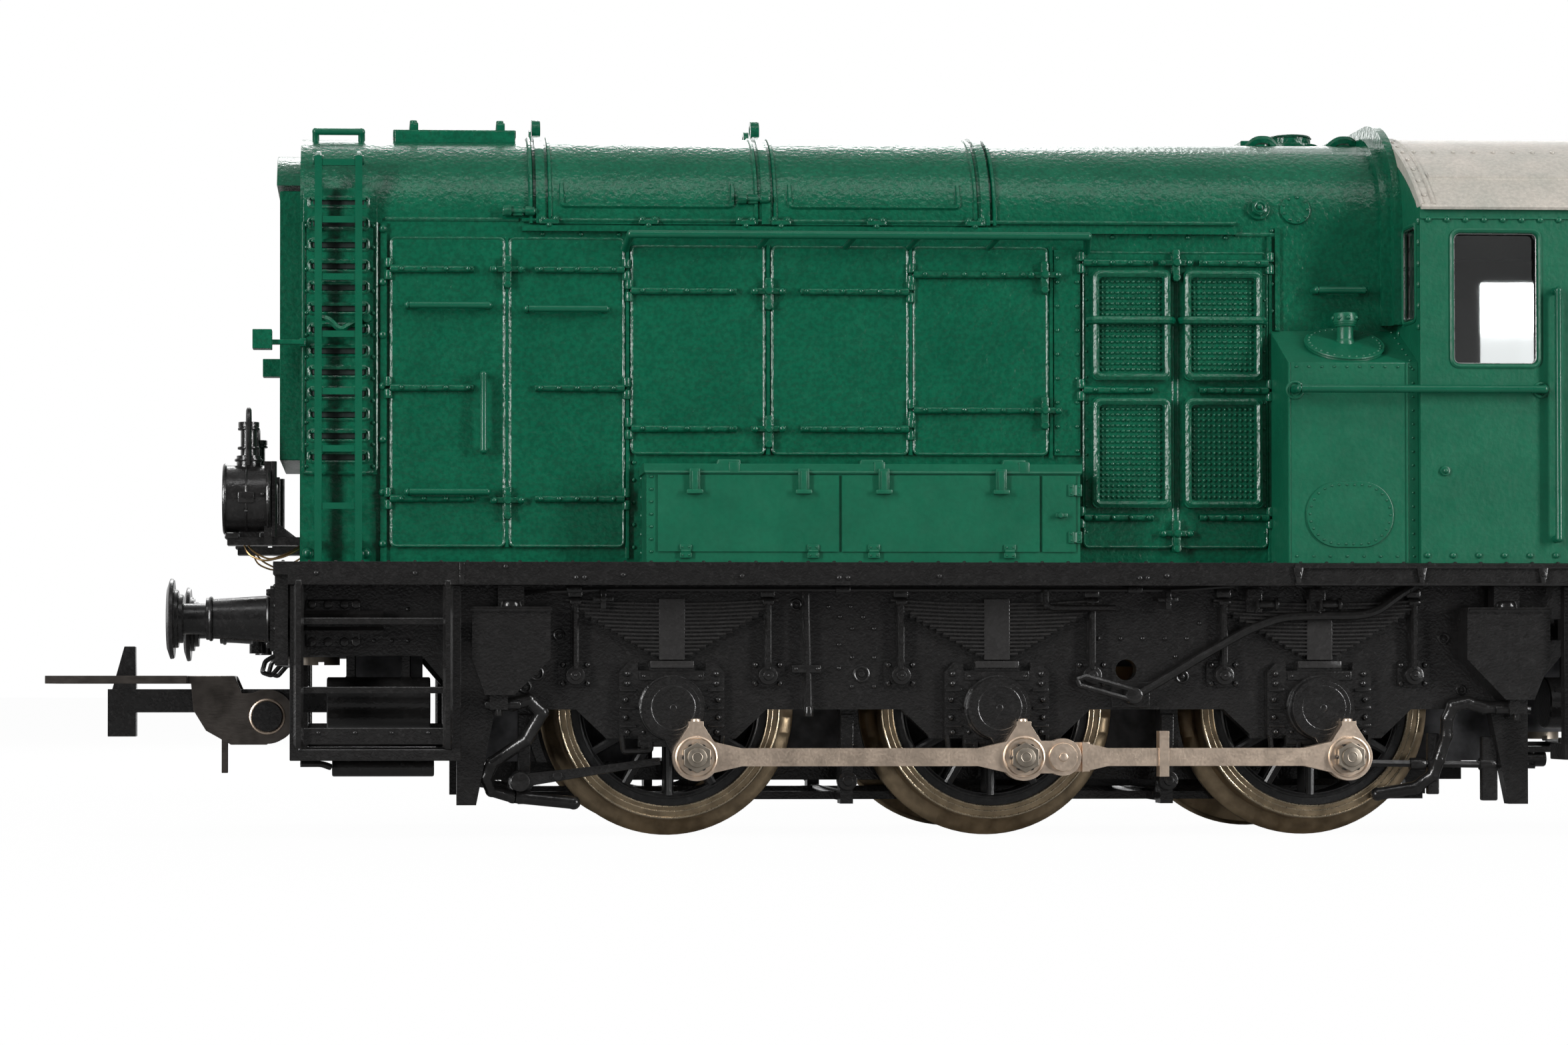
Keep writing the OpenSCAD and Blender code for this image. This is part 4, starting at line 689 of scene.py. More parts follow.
def tube(points: list[Point], radius: float, sides: int = 8, round_by: float = 0.0,
         closed: bool = False) -> bpy.types.Object:
    """Makes a bent round bar through points.

    Args:
        points: Its centre line.
        radius: Its radius.
        sides: How many sides its section has.
        round_by: Radius of its bends, or 0 for sharp ones.
        closed: Whether it runs back to its start.

    Returns:
        The bar, with closed ends.
    """
    path = [Vector(p) for p in points]
    if round_by:
        path = soften_path(path, round_by)
    curve = bpy.data.curves.new("bar", "CURVE")
    curve.dimensions = "3D"
    curve.bevel_depth = radius
    curve.bevel_resolution = max(0, sides // 4 - 1)
    curve.use_fill_caps = not closed
    spline = curve.splines.new("POLY")
    spline.points.add(len(path) - 1)
    for knot, spot in zip(spline.points, path):
        knot.co = (*spot, 1.0)
    spline.use_cyclic_u = closed
    item = bpy.data.objects.new("bar", curve)
    bpy.context.scene.collection.objects.link(item)
    pick(item)
    bpy.ops.object.convert(target="MESH")
    return bpy.context.object


def ring(centre: Point, normal: Point, radius: float, wire: float, steps: int = 32) -> bpy.types.Object:
    """Makes a round hoop.

    Args:
        centre: Its centre.
        normal: The direction that it faces.
        radius: Its middle radius.
        wire: Radius of its wire.
        steps: How many steps go round.

    Returns:
        The hoop.
    """
    clear_selection()
    bpy.ops.mesh.primitive_torus_add(
        major_radius=radius, minor_radius=wire, major_segments=steps, minor_segments=8
    )
    item = bpy.context.object
    item.matrix_world = Matrix.Translation(centre) @ aim(Vector(normal))
    return bake_place(item)


def soften_path(path: list[Vector], radius: float) -> list[Vector]:
    """Rounds the corners of a path.

    Args:
        path: The path's corners.
        radius: How far from each corner the bend starts.

    Returns:
        The path with bends of several short steps.
    """
    out = [path[0]]
    for before, corner, after in zip(path, path[1:], path[2:]):
        back = min(radius, (before - corner).length * 0.45)
        ahead = min(radius, (after - corner).length * 0.45)
        a = corner + (before - corner).normalized() * back
        b = corner + (after - corner).normalized() * ahead
        for i in range(5):
            t = i / 4
            out.append(a * (1 - t) ** 2 + corner * 2 * t * (1 - t) + b * t**2)
    return [*out, path[-1]]


def spread(item: bpy.types.Object, places: list[Matrix]) -> bpy.types.Object:
    """Copies a piece to several places, each copy with its own mesh, and joins them.

    Args:
        item: The pattern, which is used up.
        places: Where the copies go.

    Returns:
        One object that holds every copy.
    """
    gather = bmesh.new()
    for place in places:
        mesh = item.data.copy()
        mesh.transform(place)
        gather.from_mesh(mesh)
        bpy.data.meshes.remove(mesh)
    gather.to_mesh(item.data)
    gather.free()
    return item


def studs(radius: float, height: float, sides: int, places: list[Matrix]) -> bpy.types.Object:
    """Sets a rivet head at each of several places.

    Args:
        radius: The heads' radius.
        height: Their height.
        sides: How many sides each has.
        places: Where they go.

    Returns:
        One object that holds every head.
    """
    return spread(dome(radius, height, sides), places)


def facing(x: float, y: float, z: float, normal: Point = LEFT) -> Matrix:
    """Gives the place of a pattern that stands on z = 0, set on a surface.

    Args:
        x: Place along the model.
        y: Place across the model.
        z: Height.
        normal: The way that the surface faces.

    Returns:
        The place's matrix.
    """
    return Matrix.Translation((x, y, z)) @ aim(Vector(normal))


def upright(x: float, y: float, z: float) -> Matrix:
    """Gives the place of a pattern drawn in X and Y, set on the left side with its Y upwards."""
    return Matrix.Translation((x, y, z)) @ Matrix.Rotation(math.pi / 2, 4, "X")


def run(start: float, end: float, step: float) -> list[float]:
    """Gives evenly spaced numbers from a start to an end at about a given step."""
    count = max(1, round(abs(end - start) / step))
    return [start + (end - start) * i / count for i in range(count + 1)]


def round_path(x0: float, x1: float, z0: float, z1: float, y: float, radius: float) -> list[Point]:
    """Gives the path of a rounded rectangle on a side sheet.

    Args:
        x0: Its left edge.
        x1: Its right edge.
        z0: Its foot.
        z1: Its top.
        y: The sheet's place.
        radius: Radius of its corners.

    Returns:
        Points round the rectangle.
    """
    path = []
    for cx, cz, turn in ((x1 - radius, z1 - radius, 0), (x0 + radius, z1 - radius, 90),
                         (x0 + radius, z0 + radius, 180), (x1 - radius, z0 + radius, 270)):
        for step in range(5):
            angle = math.radians(turn + step * 22.5)
            path.append((cx + radius * math.cos(angle), y, cz + radius * math.sin(angle)))
    return path


def border(edges: Edges, grow: float, y: float, corner: float, wire: float) -> bpy.types.Object:
    """Makes a wire round a rectangle on a side sheet.

    Args:
        edges: The rectangle's left and right edges, foot and top.
        grow: How far outside the rectangle the wire runs.
        y: The sheet's place.
        corner: Radius of the wire's corners.
        wire: The wire's own radius.

    Returns:
        The closed wire.
    """
    x0, x1, z0, z1 = edges
    path = round_path(x0 - grow, x1 + grow, z0 - grow, z1 + grow, y, corner)
    return tube(path, wire, closed=True)


def oval_spots(x0: float, x1: float, z0: float, z1: float, count: int) -> list[Flat]:
    """Gives evenly spaced points round an oval with straight long sides.

    Args:
        x0: Its left edge.
        x1: Its right edge.
        z0: Its foot.
        z1: Its top.
        count: How many points.

    Returns:
        The points' X and Z.
    """
    radius = (z1 - z0) / 2
    straight = (x1 - x0) - 2 * radius
    length = 2 * straight + 2 * math.pi * radius
    spots = []
    for i in range(count):
        along = length * i / count
        if along < straight:
            spots.append((x0 + radius + along, z1))
        elif along < straight + math.pi * radius:
            angle = math.pi / 2 - (along - straight) / radius
            spots.append((x1 - radius + radius * math.cos(angle), (z0 + z1) / 2 + radius * math.sin(angle)))
        elif along < 2 * straight + math.pi * radius:
            spots.append((x1 - radius - (along - straight - math.pi * radius), z0))
        else:
            angle = -math.pi / 2 - (along - 2 * straight - math.pi * radius) / radius
            spots.append((x0 + radius + radius * math.cos(angle), (z0 + z1) / 2 + radius * math.sin(angle)))
    return spots


def joined(items: list[bpy.types.Object]) -> bpy.types.Object:
    """Joins several pieces into one."""
    pick(*items)
    if len(items) > 1:
        bpy.ops.object.join()
    return bpy.context.object


def mirrored(item: bpy.types.Object, axis: int = 1) -> bpy.types.Object:
    """Adds a piece's mirror image across the plane where an axis is 0.

    Args:
        item: The piece.
        axis: 0 for X, 1 for Y.

    Returns:
        Both halves as one piece, facing outwards.
    """
    turn = Matrix.Scale(-1, 4, Vector([1.0 if i == axis else 0.0 for i in range(3)]))
    mesh = item.data.copy()
    mesh.transform(turn)
    mesh.flip_normals()
    twin = bpy.data.objects.new(item.name, mesh)
    bpy.context.scene.collection.objects.link(twin)
    return joined([item, twin])


def smooth(item: bpy.types.Object, angle: float = 35.0) -> bpy.types.Object:
    """Shades a piece smooth except over sharp edges."""
    pick(item)
    bpy.ops.object.shade_smooth_by_angle(angle=math.radians(angle))
    return item


def hand_over(item: bpy.types.Object, name: str, body: str, finish: Finish,
              nodes: tuple[str, ...] = (), angle: float = 35.0) -> bpy.types.Object:
    """Takes a finished piece from millimetres to metres, dresses it and lets it ride on its body.

    Args:
        item: The piece in millimetres.
        name: Its name.
        body: The body that it moves with.
        finish: Its finish.
        nodes: CAD nodes that it stands for.
        angle: Edges sharper than this many degrees stay sharp.

    Returns:
        The piece.
    """
    item.name = item.data.name = name
    item.data.transform(Matrix.Scale(MM, 4))
    item.data.materials.clear()
    item.data.materials.append(finish.material())
    smooth(item, angle)
    press(item, "WEIGHTED_NORMAL", mode="FACE_AREA", weight=50, keep_sharp=True)
    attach(item, body)
    if nodes:
        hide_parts(*nodes)
    LOG.info("piece %s rides on %s", name, body)
    return item


def lifted(node: str, soften: float = 0.0, segments: int = 1, merge: float = 0.004) -> bpy.types.Object:
    """Copies a CAD node's mesh, closes it and rounds its edges a little.

    Args:
        node: The node's name.
        soften: Width of the bevel in millimetres.
        segments: How many strips the bevel has.
        merge: Distance within which its loose corners are joined.

    Returns:
        The copy, in millimetres.
    """
    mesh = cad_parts[node].data.copy()
    mesh.transform(Matrix.Scale(1 / MM, 4))
    item = bpy.data.objects.new(node, mesh)
    bpy.context.scene.collection.objects.link(item)
    pick(item)
    bpy.ops.object.mode_set(mode="EDIT")
    bpy.ops.mesh.select_all(action="SELECT")
    bpy.ops.mesh.remove_doubles(threshold=merge)
    bpy.ops.mesh.customdata_custom_splitnormals_clear()
    bpy.ops.mesh.dissolve_limited(angle_limit=math.radians(0.6))
    bpy.ops.object.mode_set(mode="OBJECT")
    return rounded(item, soften, segments, 40.0) if soften else item


# ---------------------------------------------------------------- the locomotive


class SubAssembly:
    """A group of pieces that belong together."""

    body = "chassis"

    def build(self) -> None:
        """Builds and dresses every piece of the group."""
        raise NotImplementedError

    def dress(self, node: str, finish: Finish, slot: Slot, soften: float = 0.0, body: str | None = None,
              segments: int = 1) -> bpy.types.Object:
        """Stands a closed, softened copy in for a CAD node.

        Args:
            node: The node's name.
            finish: Its finish.
            slot: Its slot; not used.
            soften: Width of its edges' bevel.
            body: The body it rides on, if not the group's own.
            segments: How many strips the bevel has.

        Returns:
            The piece.
        """
        item = lifted(node, soften, segments)
        return hand_over(item, f"{node}_skin", body or self.body, finish, (node,))

    def fit(self, name: str, items: list[bpy.types.Object], finish: Finish, slot: Slot, sides: bool = True,
            ends: bool = False, body: str | None = None, angle: float = 35.0) -> bpy.types.Object:
        """Joins new pieces, repeats them where the model is symmetrical, and dresses them.

        Args:
            name: The joined piece's name.
            items: The pieces, on the left side.
            finish: Their finish.
            slot: Their slot; not used.
            sides: Whether the right side has the same.
            ends: Whether the other end has the same.
            body: The body it rides on, if not the group's own.
            angle: Edges sharper than this many degrees stay sharp.

        Returns:
            The piece.
        """
        item = joined(items)
        if sides:
            item = mirrored(item, 1)
        if ends:
            item = mirrored(item, 0)
        return hand_over(item, name, body or self.body, finish, angle=angle)


def paint_node(node: str, finish: Finish) -> None:
    """Gives a CAD node that stays its finish."""
    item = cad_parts[node]
    if not item.material_slots:
        item.data.materials.append(finish.material())
    for place in item.material_slots:
        place.material = finish.material()


@dataclass(frozen=True)
class Door:
    """One side door of the bonnet: its edges, hinge side, straps and their heights."""

    x0: float
    x1: float
    z0: float
    z1: float
    hinge: int
    strap: float
    heights: tuple[float, ...]


# Heights of the straps on the front doors and on the vent doors.
HIGH = (21.0, 27.9, 35.3)
VENT = (19.9, 27.9, 35.9)


@dataclass
class Bonnet(SubAssembly):
    """The engine bonnet with its doors, grilles, roof and fittings."""

    side: float = BONNET_SIDE
    door: float = 9.55
    shoulder: float = 38.2
    shoulder_r: float = 6.0
    top: float = 44.2
    doors: tuple[Door, ...] = (
        Door(-37.5, -30.35, 18.0, 37.3, -1, 5.2, HIGH),
        Door(-30.1, -22.9, 18.0, 37.3, 1, 5.6, HIGH),
        Door(-22.5, -14.1, 23.8, 36.85, -1, 6.6, (25.4, 34.0)),
        Door(-13.7, -5.1, 23.8, 36.85, 1, 6.8, (25.4, 34.0)),
        Door(-4.8, 3.7, 23.8, 36.85, -1, 7.2, (26.6, 35.1)),
        Door(5.9, 11.65, 18.0, 36.6, -1, 4.4, VENT),
        Door(11.85, 17.6, 18.0, 36.6, 1, 4.4, VENT),
    )
    latches: tuple[Flat, ...] = ((-30.2, 35.3), (-30.2, 20.9), (-13.9, 34.0), (-13.9, 25.4), (3.45, 35.1),
                                 (3.45, 26.6), (11.75, 35.9), (11.75, 18.9))
    grille_x: tuple[float, float] = (6.4, 12.2)
    grille_z: tuple[float, float] = (20.5, 28.5)
    grille_size: Flat = (4.95, 6.9)
    louvres: int = 13
    louvre_step: float = 1.32

    def build(self) -> None:
        """Builds the bonnet's pieces."""
        self.dress("hood_shell", GREEN, Slot.GREEN, 0.09, segments=2)
        self.dress("hood_fittings", GREEN, Slot.GREEN, 0.08)
        self.dress("radiator_grille", GREEN, Slot.GREEN, 0.05)
        self.dress("hood_ladders", RAIL_GREEN, Slot.GREEN, 0.05)
        self.dress("handrails", RAIL_GREEN, Slot.GREEN)
        self.straps()
        self.door_edges()
        self.door_latches()
        self.mesh_panels()
        self.nose()
        self.roof()
        self.rivets()
        self.round_plates()
        self.ladder_bolts()

    def on_shoulder(self, z: float, out: float = 0.0) -> float:
        """Gives Y on the left shoulder at a height, moved outwards."""
        return -(self.side - self.shoulder_r + math.sqrt(
            (self.shoulder_r + out) ** 2 - (z - self.shoulder) ** 2
        ))

    def straps(self) -> None:
        """Makes the doors' hinge straps with their rivets and knuckles."""
        bars, spots, pins = [], [], []
        for d in self.doors:
            start = d.x0 if d.hinge < 0 else d.x1
            end = start - d.hinge * d.strap
            for z in d.heights:
                bars.append(bar((start, end), -self.door - 0.17, z, 0.26, 0.22, 12, 0.05))
                pins += [
                    bar(
                        start + d.hinge * 0.12,
                        -self.door - 0.05,
                        (z + lift - 0.3, z + lift + 0.3),
                        0.27, None, 12, 0.06,
                    )
                    for lift in (-0.38, 0.38)
                ]
                spots += [
                    facing(x, -self.door - 0.38, z)
                    for x in run(start - d.hinge * 0.7, end + d.hinge * 0.35, 1.25)
                ]
        rivets = studs(0.18, 0.15, 8, spots)
        self.fit("door_straps", [*bars, *pins, rivets], GREEN, Slot.GREEN)

    def door_edges(self) -> None:
        """Makes the fine ribs between the doors and the seam above them."""
        lines = [(-30.22, 18.0, 37.3), (-22.7, 17.3, 37.3), (-13.9, 23.8, 36.9), (-4.95, 23.8, 36.9),
                 (3.9, 23.6, 36.9), (11.75, 18.0, 36.6), (17.75, 17.2, 37.6)]
        ribs = [tube([(x, -self.side - 0.16, z0), (x, -self.side - 0.16, z1)], 0.15) for x, z0, z1 in lines]
        folds = [border((d.x0, d.x1, d.z0, d.z1), -0.06, -self.door + 0.03, 0.3, 0.09) for d in self.doors]
        seam = tube([(-37.8, -self.side, 38.45), (-29.5, -self.side, 38.45)], 0.13)
        gutter = tube([(-29.3, -self.side - 0.12, 38.42), (15.6, -self.side - 0.12, 38.42)], 0.13)
        step = tube([(15.6, -self.side - 0.05, 37.75), (18.1, -self.side - 0.05, 37.75)], 0.13)
        self.fit("door_ribs", [*ribs, *folds, seam, gutter, step], GREEN, Slot.GREEN)

    def door_latches(self) -> None:
        """Makes the cross-shaped latches that hold the doors shut."""
        cross = [
            block((-1.1, -0.2, 0), (1.1, 0.2, 0.42), 0.12),
            block((-0.24, -0.9, 0), (0.24, 0.85, 0.5), 0.12),
            bar(0, 0, (0.3, 0.78), 0.3, 0.25, 12, 0.06),
            bar(0, -0.95, (0, 0.6), 0.28, 0.24, 12, 0.06),
            studs(0.25, 0.28, 10, [Matrix.Translation((x, 0, 0.32)) for x in (-0.85, 0.85)]),
        ]
        latch = spread(joined(cross), [upright(x, -self.side - 0.2, z) for x, z in self.latches])
        self.fit("door_latches", [latch], GREEN, Slot.GREEN)

    def mesh_panels(self) -> None:
        """Makes the dimpled mesh, frames and guard bars of the four vents."""
        wide, high = self.grille_size
        dots, items = [], []
        for x in self.grille_x:
            for z in self.grille_z:
                face = -self.door - 0.17
                for px in run(x + 0.66, x + wide - 0.66, 0.335):
                    dots += [facing(px, face, pz) for pz in run(z + 0.7, z + high - 0.7, 0.345)]
                items.append(border((x, x + wide, z, z + high), -0.22, -self.door - 0.5, 0.3, 0.2))
            bar_z = self.grille_z[1] + 3.75
            items.append(tube(
                [
                    (x - 0.15, -self.door - 0.2, bar_z),
                    (x + 0.1, -self.door - 0.72, bar_z),
                    (x + wide - 0.1, -self.door - 0.72, bar_z),
                    (x + wide + 0.15, -self.door - 0.2, bar_z),
                ],
                0.27, 12, 0.3,
            ))
        mesh = studs(0.145, 0.17, 6, dots)
        edge = [facing(x, -self.door, z) for x in (self.grille_x[0] - 0.28, self.grille_x[1] + wide + 0.25)
                for z in run(19.0, 35.2, 1.62)]
        self.fit("vent_mesh", [mesh], GREEN, Slot.GREEN)
        self.fit("vent_frames", [*items, studs(0.1, 0.08, 6, edge)], GREEN, Slot.GREEN)

    def nose(self) -> None:
        """Makes the louvred sheet's upper part, its louvre lips, the radiator's trim and dark blocks in the
        louvres as painted shadow.
        """
        inner, outer = self.shoulder_r - 0.1, self.shoulder_r + 0.2
        angles = [math.radians(a) for a in range(0, 22, 3)]
        across = self.side - self.shoulder_r
        curve = [(-across - outer * math.cos(a), self.shoulder + outer * math.sin(a)) for a in angles]
        curve += [
            (-across - inner * math.cos(a), self.shoulder + inner * math.sin(a)) for a in reversed(angles)
        ]
        sheet = plate(curve, -42.9, -38.3, "X", 0.06)
        lips = []
        shades = []
        for i in range(self.louvres):
            z = 23.6 + i * self.louvre_step
            y = -self.side - 0.2 if z < self.shoulder else self.on_shoulder(z, 0.2)
            # Painted shadow: a near-black block sits in each louvre's opening.
            shades.append(block((-42.3, y - 0.03, z - 0.2), (-39.1, y + 0.1, z + 0.2), 0.06))
            lips += [border((-42.55, -38.85, z - 0.33, z + 0.33), 0.0, y, 0.22, 0.11),
                     block((-42.4, y - 0.24, z + 0.12), (-39.0, y + 0.05, z + 0.34), 0.08)]
        edges = tube([(-42.86, -self.side - 0.2, 22.6), (-42.86, -self.side - 0.2, 38.2)], 0.12)
        foot = tube([(-42.86, -self.side - 0.2, 22.6), (-38.36, -self.side - 0.2, 22.6),
                     (-38.36, -self.side - 0.2, 38.2)], 0.12, 8, 0.4)
        stay = tube(
            [
                (-38.98, -self.side - 0.2, 32.2),
                (-39.6, -self.side - 0.75, 32.0),
                (-40.6, -self.side - 1.0, 31.4),
                (-41.3, -self.side - 1.0, 32.1),
                (-41.95, -self.side - 0.9, 32.2),
            ],
            0.2, 8, 0.3,
        )
        nut = bar(-38.95, (-self.side - 0.2, -self.side - 0.85), 32.2, 0.34, 0.3, 12, 0.07)
        self.fit("nose_louvres", [sheet, *lips, edges, foot, stay, nut], GREEN, Slot.GREEN)
        self.fit("louvre_shadow_blocks", shades, LOUVRE_SHADOW_GREEN, Slot.GREEN)

    def roof(self) -> None:
        """Makes the roof's troughs, joint ribs, catches and clips."""
        items = []
        for x0, x1 in ((-26.8, -16.1), (-12.5, -1.9)):
            low, high = 39.35, 40.75
            items.append(tube(
                [
                    (x0, self.on_shoulder(high, 0.1), high),
                    (x0, self.on_shoulder(40.0, 0.16), 40.0),
                    (x0, self.on_shoulder(low, 0.16), low),
                    (x1, self.on_shoulder(low, 0.16), low),
                    (x1, self.on_shoulder(40.0, 0.16), 40.0),
                    (x1, self.on_shoulder(high, 0.1), high),
                ],
                0.17, 8, 0.25,
            ))
        for x in (-28.4, -14.3, -0.5):
            angles = [math.radians(a) for a in range(0, 91, 6)]
            for side in (x - 0.32, x + 0.87):
                items.append(tube(
                    [(side, -3.3 - 6.14 * math.cos(a), 38.2 + 6.14 * math.sin(a)) for a in angles], 0.14
                ))
        catch = joined([
            bar((-0.9, -0.35), 0, 0.28, 0.36, 0.36, 6, 0.06),
            bar((-0.4, 1.2), 0, 0.28, 0.17, 0.17, 10),
            bar((0.5, 1.1), 0, 0.28, 0.3, 0.27, 12, 0.06),
            block((-0.3, -0.3, 0), (0.4, 0.3, 0.34), 0.08),
        ])
        items.append(spread(
            catch, [upright(x, self.on_shoulder(z, 0.1), z) for x, z in ((-29.6, 38.95), (-14.9, 39.8))]
        ))
        clip = joined([block((-0.62, -0.16, 0), (0.62, 0.16, 0.34), 0.08), studs(0.26, 0.34, 8, [
            Matrix.Translation((x, y, 0.1)) for x, y in ((-0.4, 0.18), (0.4, 0.18), (0.0, -0.2))])])
        items.append(spread(clip, [upright(x, -self.side - 0.15, 38.3)
                                   for x in (-27.6, -21.4, -15.3, -13.1, -7.1, -0.9)]))
        self.fit("roof_joints", items, GREEN, Slot.GREEN)
        lobes = [
            tube(
                [
                    (x - 0.9, -3.6, self.top - 0.1),
                    (x - 0.4, -3.9, self.top + 0.35),
                    (x + 0.4, -3.9, self.top + 0.35),
                    (x + 0.9, -3.6, self.top - 0.1),
                ],
                0.28, 8, 0.3,
            )
            for x in (18.7, 24.0)
        ]
        cap = bar(21.4, 0, (self.top + 0.95, self.top + 1.15), 1.5, 1.35, 24, 0.07)
        skirt = [block((-37.2, -5.12, self.top - 0.55), (-29.55, -4.85, self.top + 0.42), 0.07),
                 block((-37.3, -5.05, self.top + 0.3), (-29.5, 0.0, self.top + 0.5), 0.07)]
        skirt += [
            bar(x, -4.55, (self.top + 0.4, self.top + 1.15), 0.3, 0.24, 12, 0.06) for x in (-36.0, -30.5)
        ]
        self.fit("roof_vents", [*lobes, cap, *skirt], GREEN, Slot.GREEN)

    def rivets(self) -> None:
        """Sets the rivets of the bonnet's posts, seams and louvred sheet."""
        large = [facing(-37.95, -self.side - 0.15, z) for z in (18.2, 21.4, 24.7, 28.0, 31.2, 34.5, 37.8)]
        self.fit("post_bolts", [studs(0.28, 0.24, 10, large)], GREEN, Slot.GREEN)
        small = [facing(x, -self.side - 0.18, z) for x in (-42.7, -38.55) for z in run(23.0, 38.0, 1.32)]
        small += [facing(x, -self.side - 0.18, z) for x in (4.3, 5.55) for z in run(24.1, 36.2, 1.53)]
        small += [facing(17.95, -self.side, z) for z in run(17.8, 38.0, 1.7)]
        small += [facing(25.15, -self.side, z) for z in run(32.0, 38.0, 1.5)]
        small += [facing(x, -self.side, 37.55) for x in run(-28.0, 15.0, 2.4)]
        small += [facing(-22.3, -self.side, z) for z in (18.0, 19.4, 20.8, 22.2, 23.3)]
        self.fit("sheet_rivets", [studs(0.15, 0.12, 8, small)], GREEN, Slot.GREEN)

    def round_plates(self) -> None:
        """Makes the bolted boss and the riveted round plate on the rear shoulder."""
        z = 39.35
        rise = (z - self.shoulder) / self.shoulder_r
        outward = (0.0, -math.sqrt(1 - rise * rise), rise)
        boss = joined([
            bar(0, 0, (-0.1, 0.22), 0.74, 0.7, 24, 0.06),
            bar(0, 0, (0.15, 0.5), 0.56, 0.52, 6, 0.05),
            ring((0, 0, 0.5), UPWARD, 0.33, 0.07, 20),
            bar(0, 0, (0.4, 0.66), 0.2, 0.17, 12, 0.03),
        ])
        boss = spread(boss, [facing(17.1, self.on_shoulder(z), z, outward)])
        plate_round = joined([bar(0, 0, (-0.1, 0.12), 0.98, 0.95, 32, 0.04), studs(0.12, 0.1, 8, [
            Matrix.Translation((0.78 * math.cos(a), 0.78 * math.sin(a), 0.1)) for a in run(0, 5.6, 0.7)])])
        plate_round = spread(plate_round, [facing(19.45, self.on_shoulder(z), z, outward)])
        self.fit("shoulder_plates", [boss, plate_round], GREEN, Slot.GREEN)

    def ladder_bolts(self) -> None:
        """Makes the ladder's feet bolts and head brackets."""
        bolts = [facing(x, -self.side - 0.1, 17.6) for x in (-42.6, -39.0)]
        heads = [bar((x - 0.35, x + 0.35), -self.side - 0.7, 42.0, 0.3, None, 12, 0.07)
                 for x in (-41.95, -39.45)]
        arms = [
            tube([(x, -self.side - 1.1, 42.1), (x, -self.side - 0.6, 42.45), (x, -8.0, 42.1)], 0.2, 8, 0.3)
            for x in (-41.95, -39.45)
        ]
        self.fit("ladder_bolts", [studs(0.36, 0.34, 10, bolts), *heads, *arms], RAIL_GREEN, Slot.GREEN)


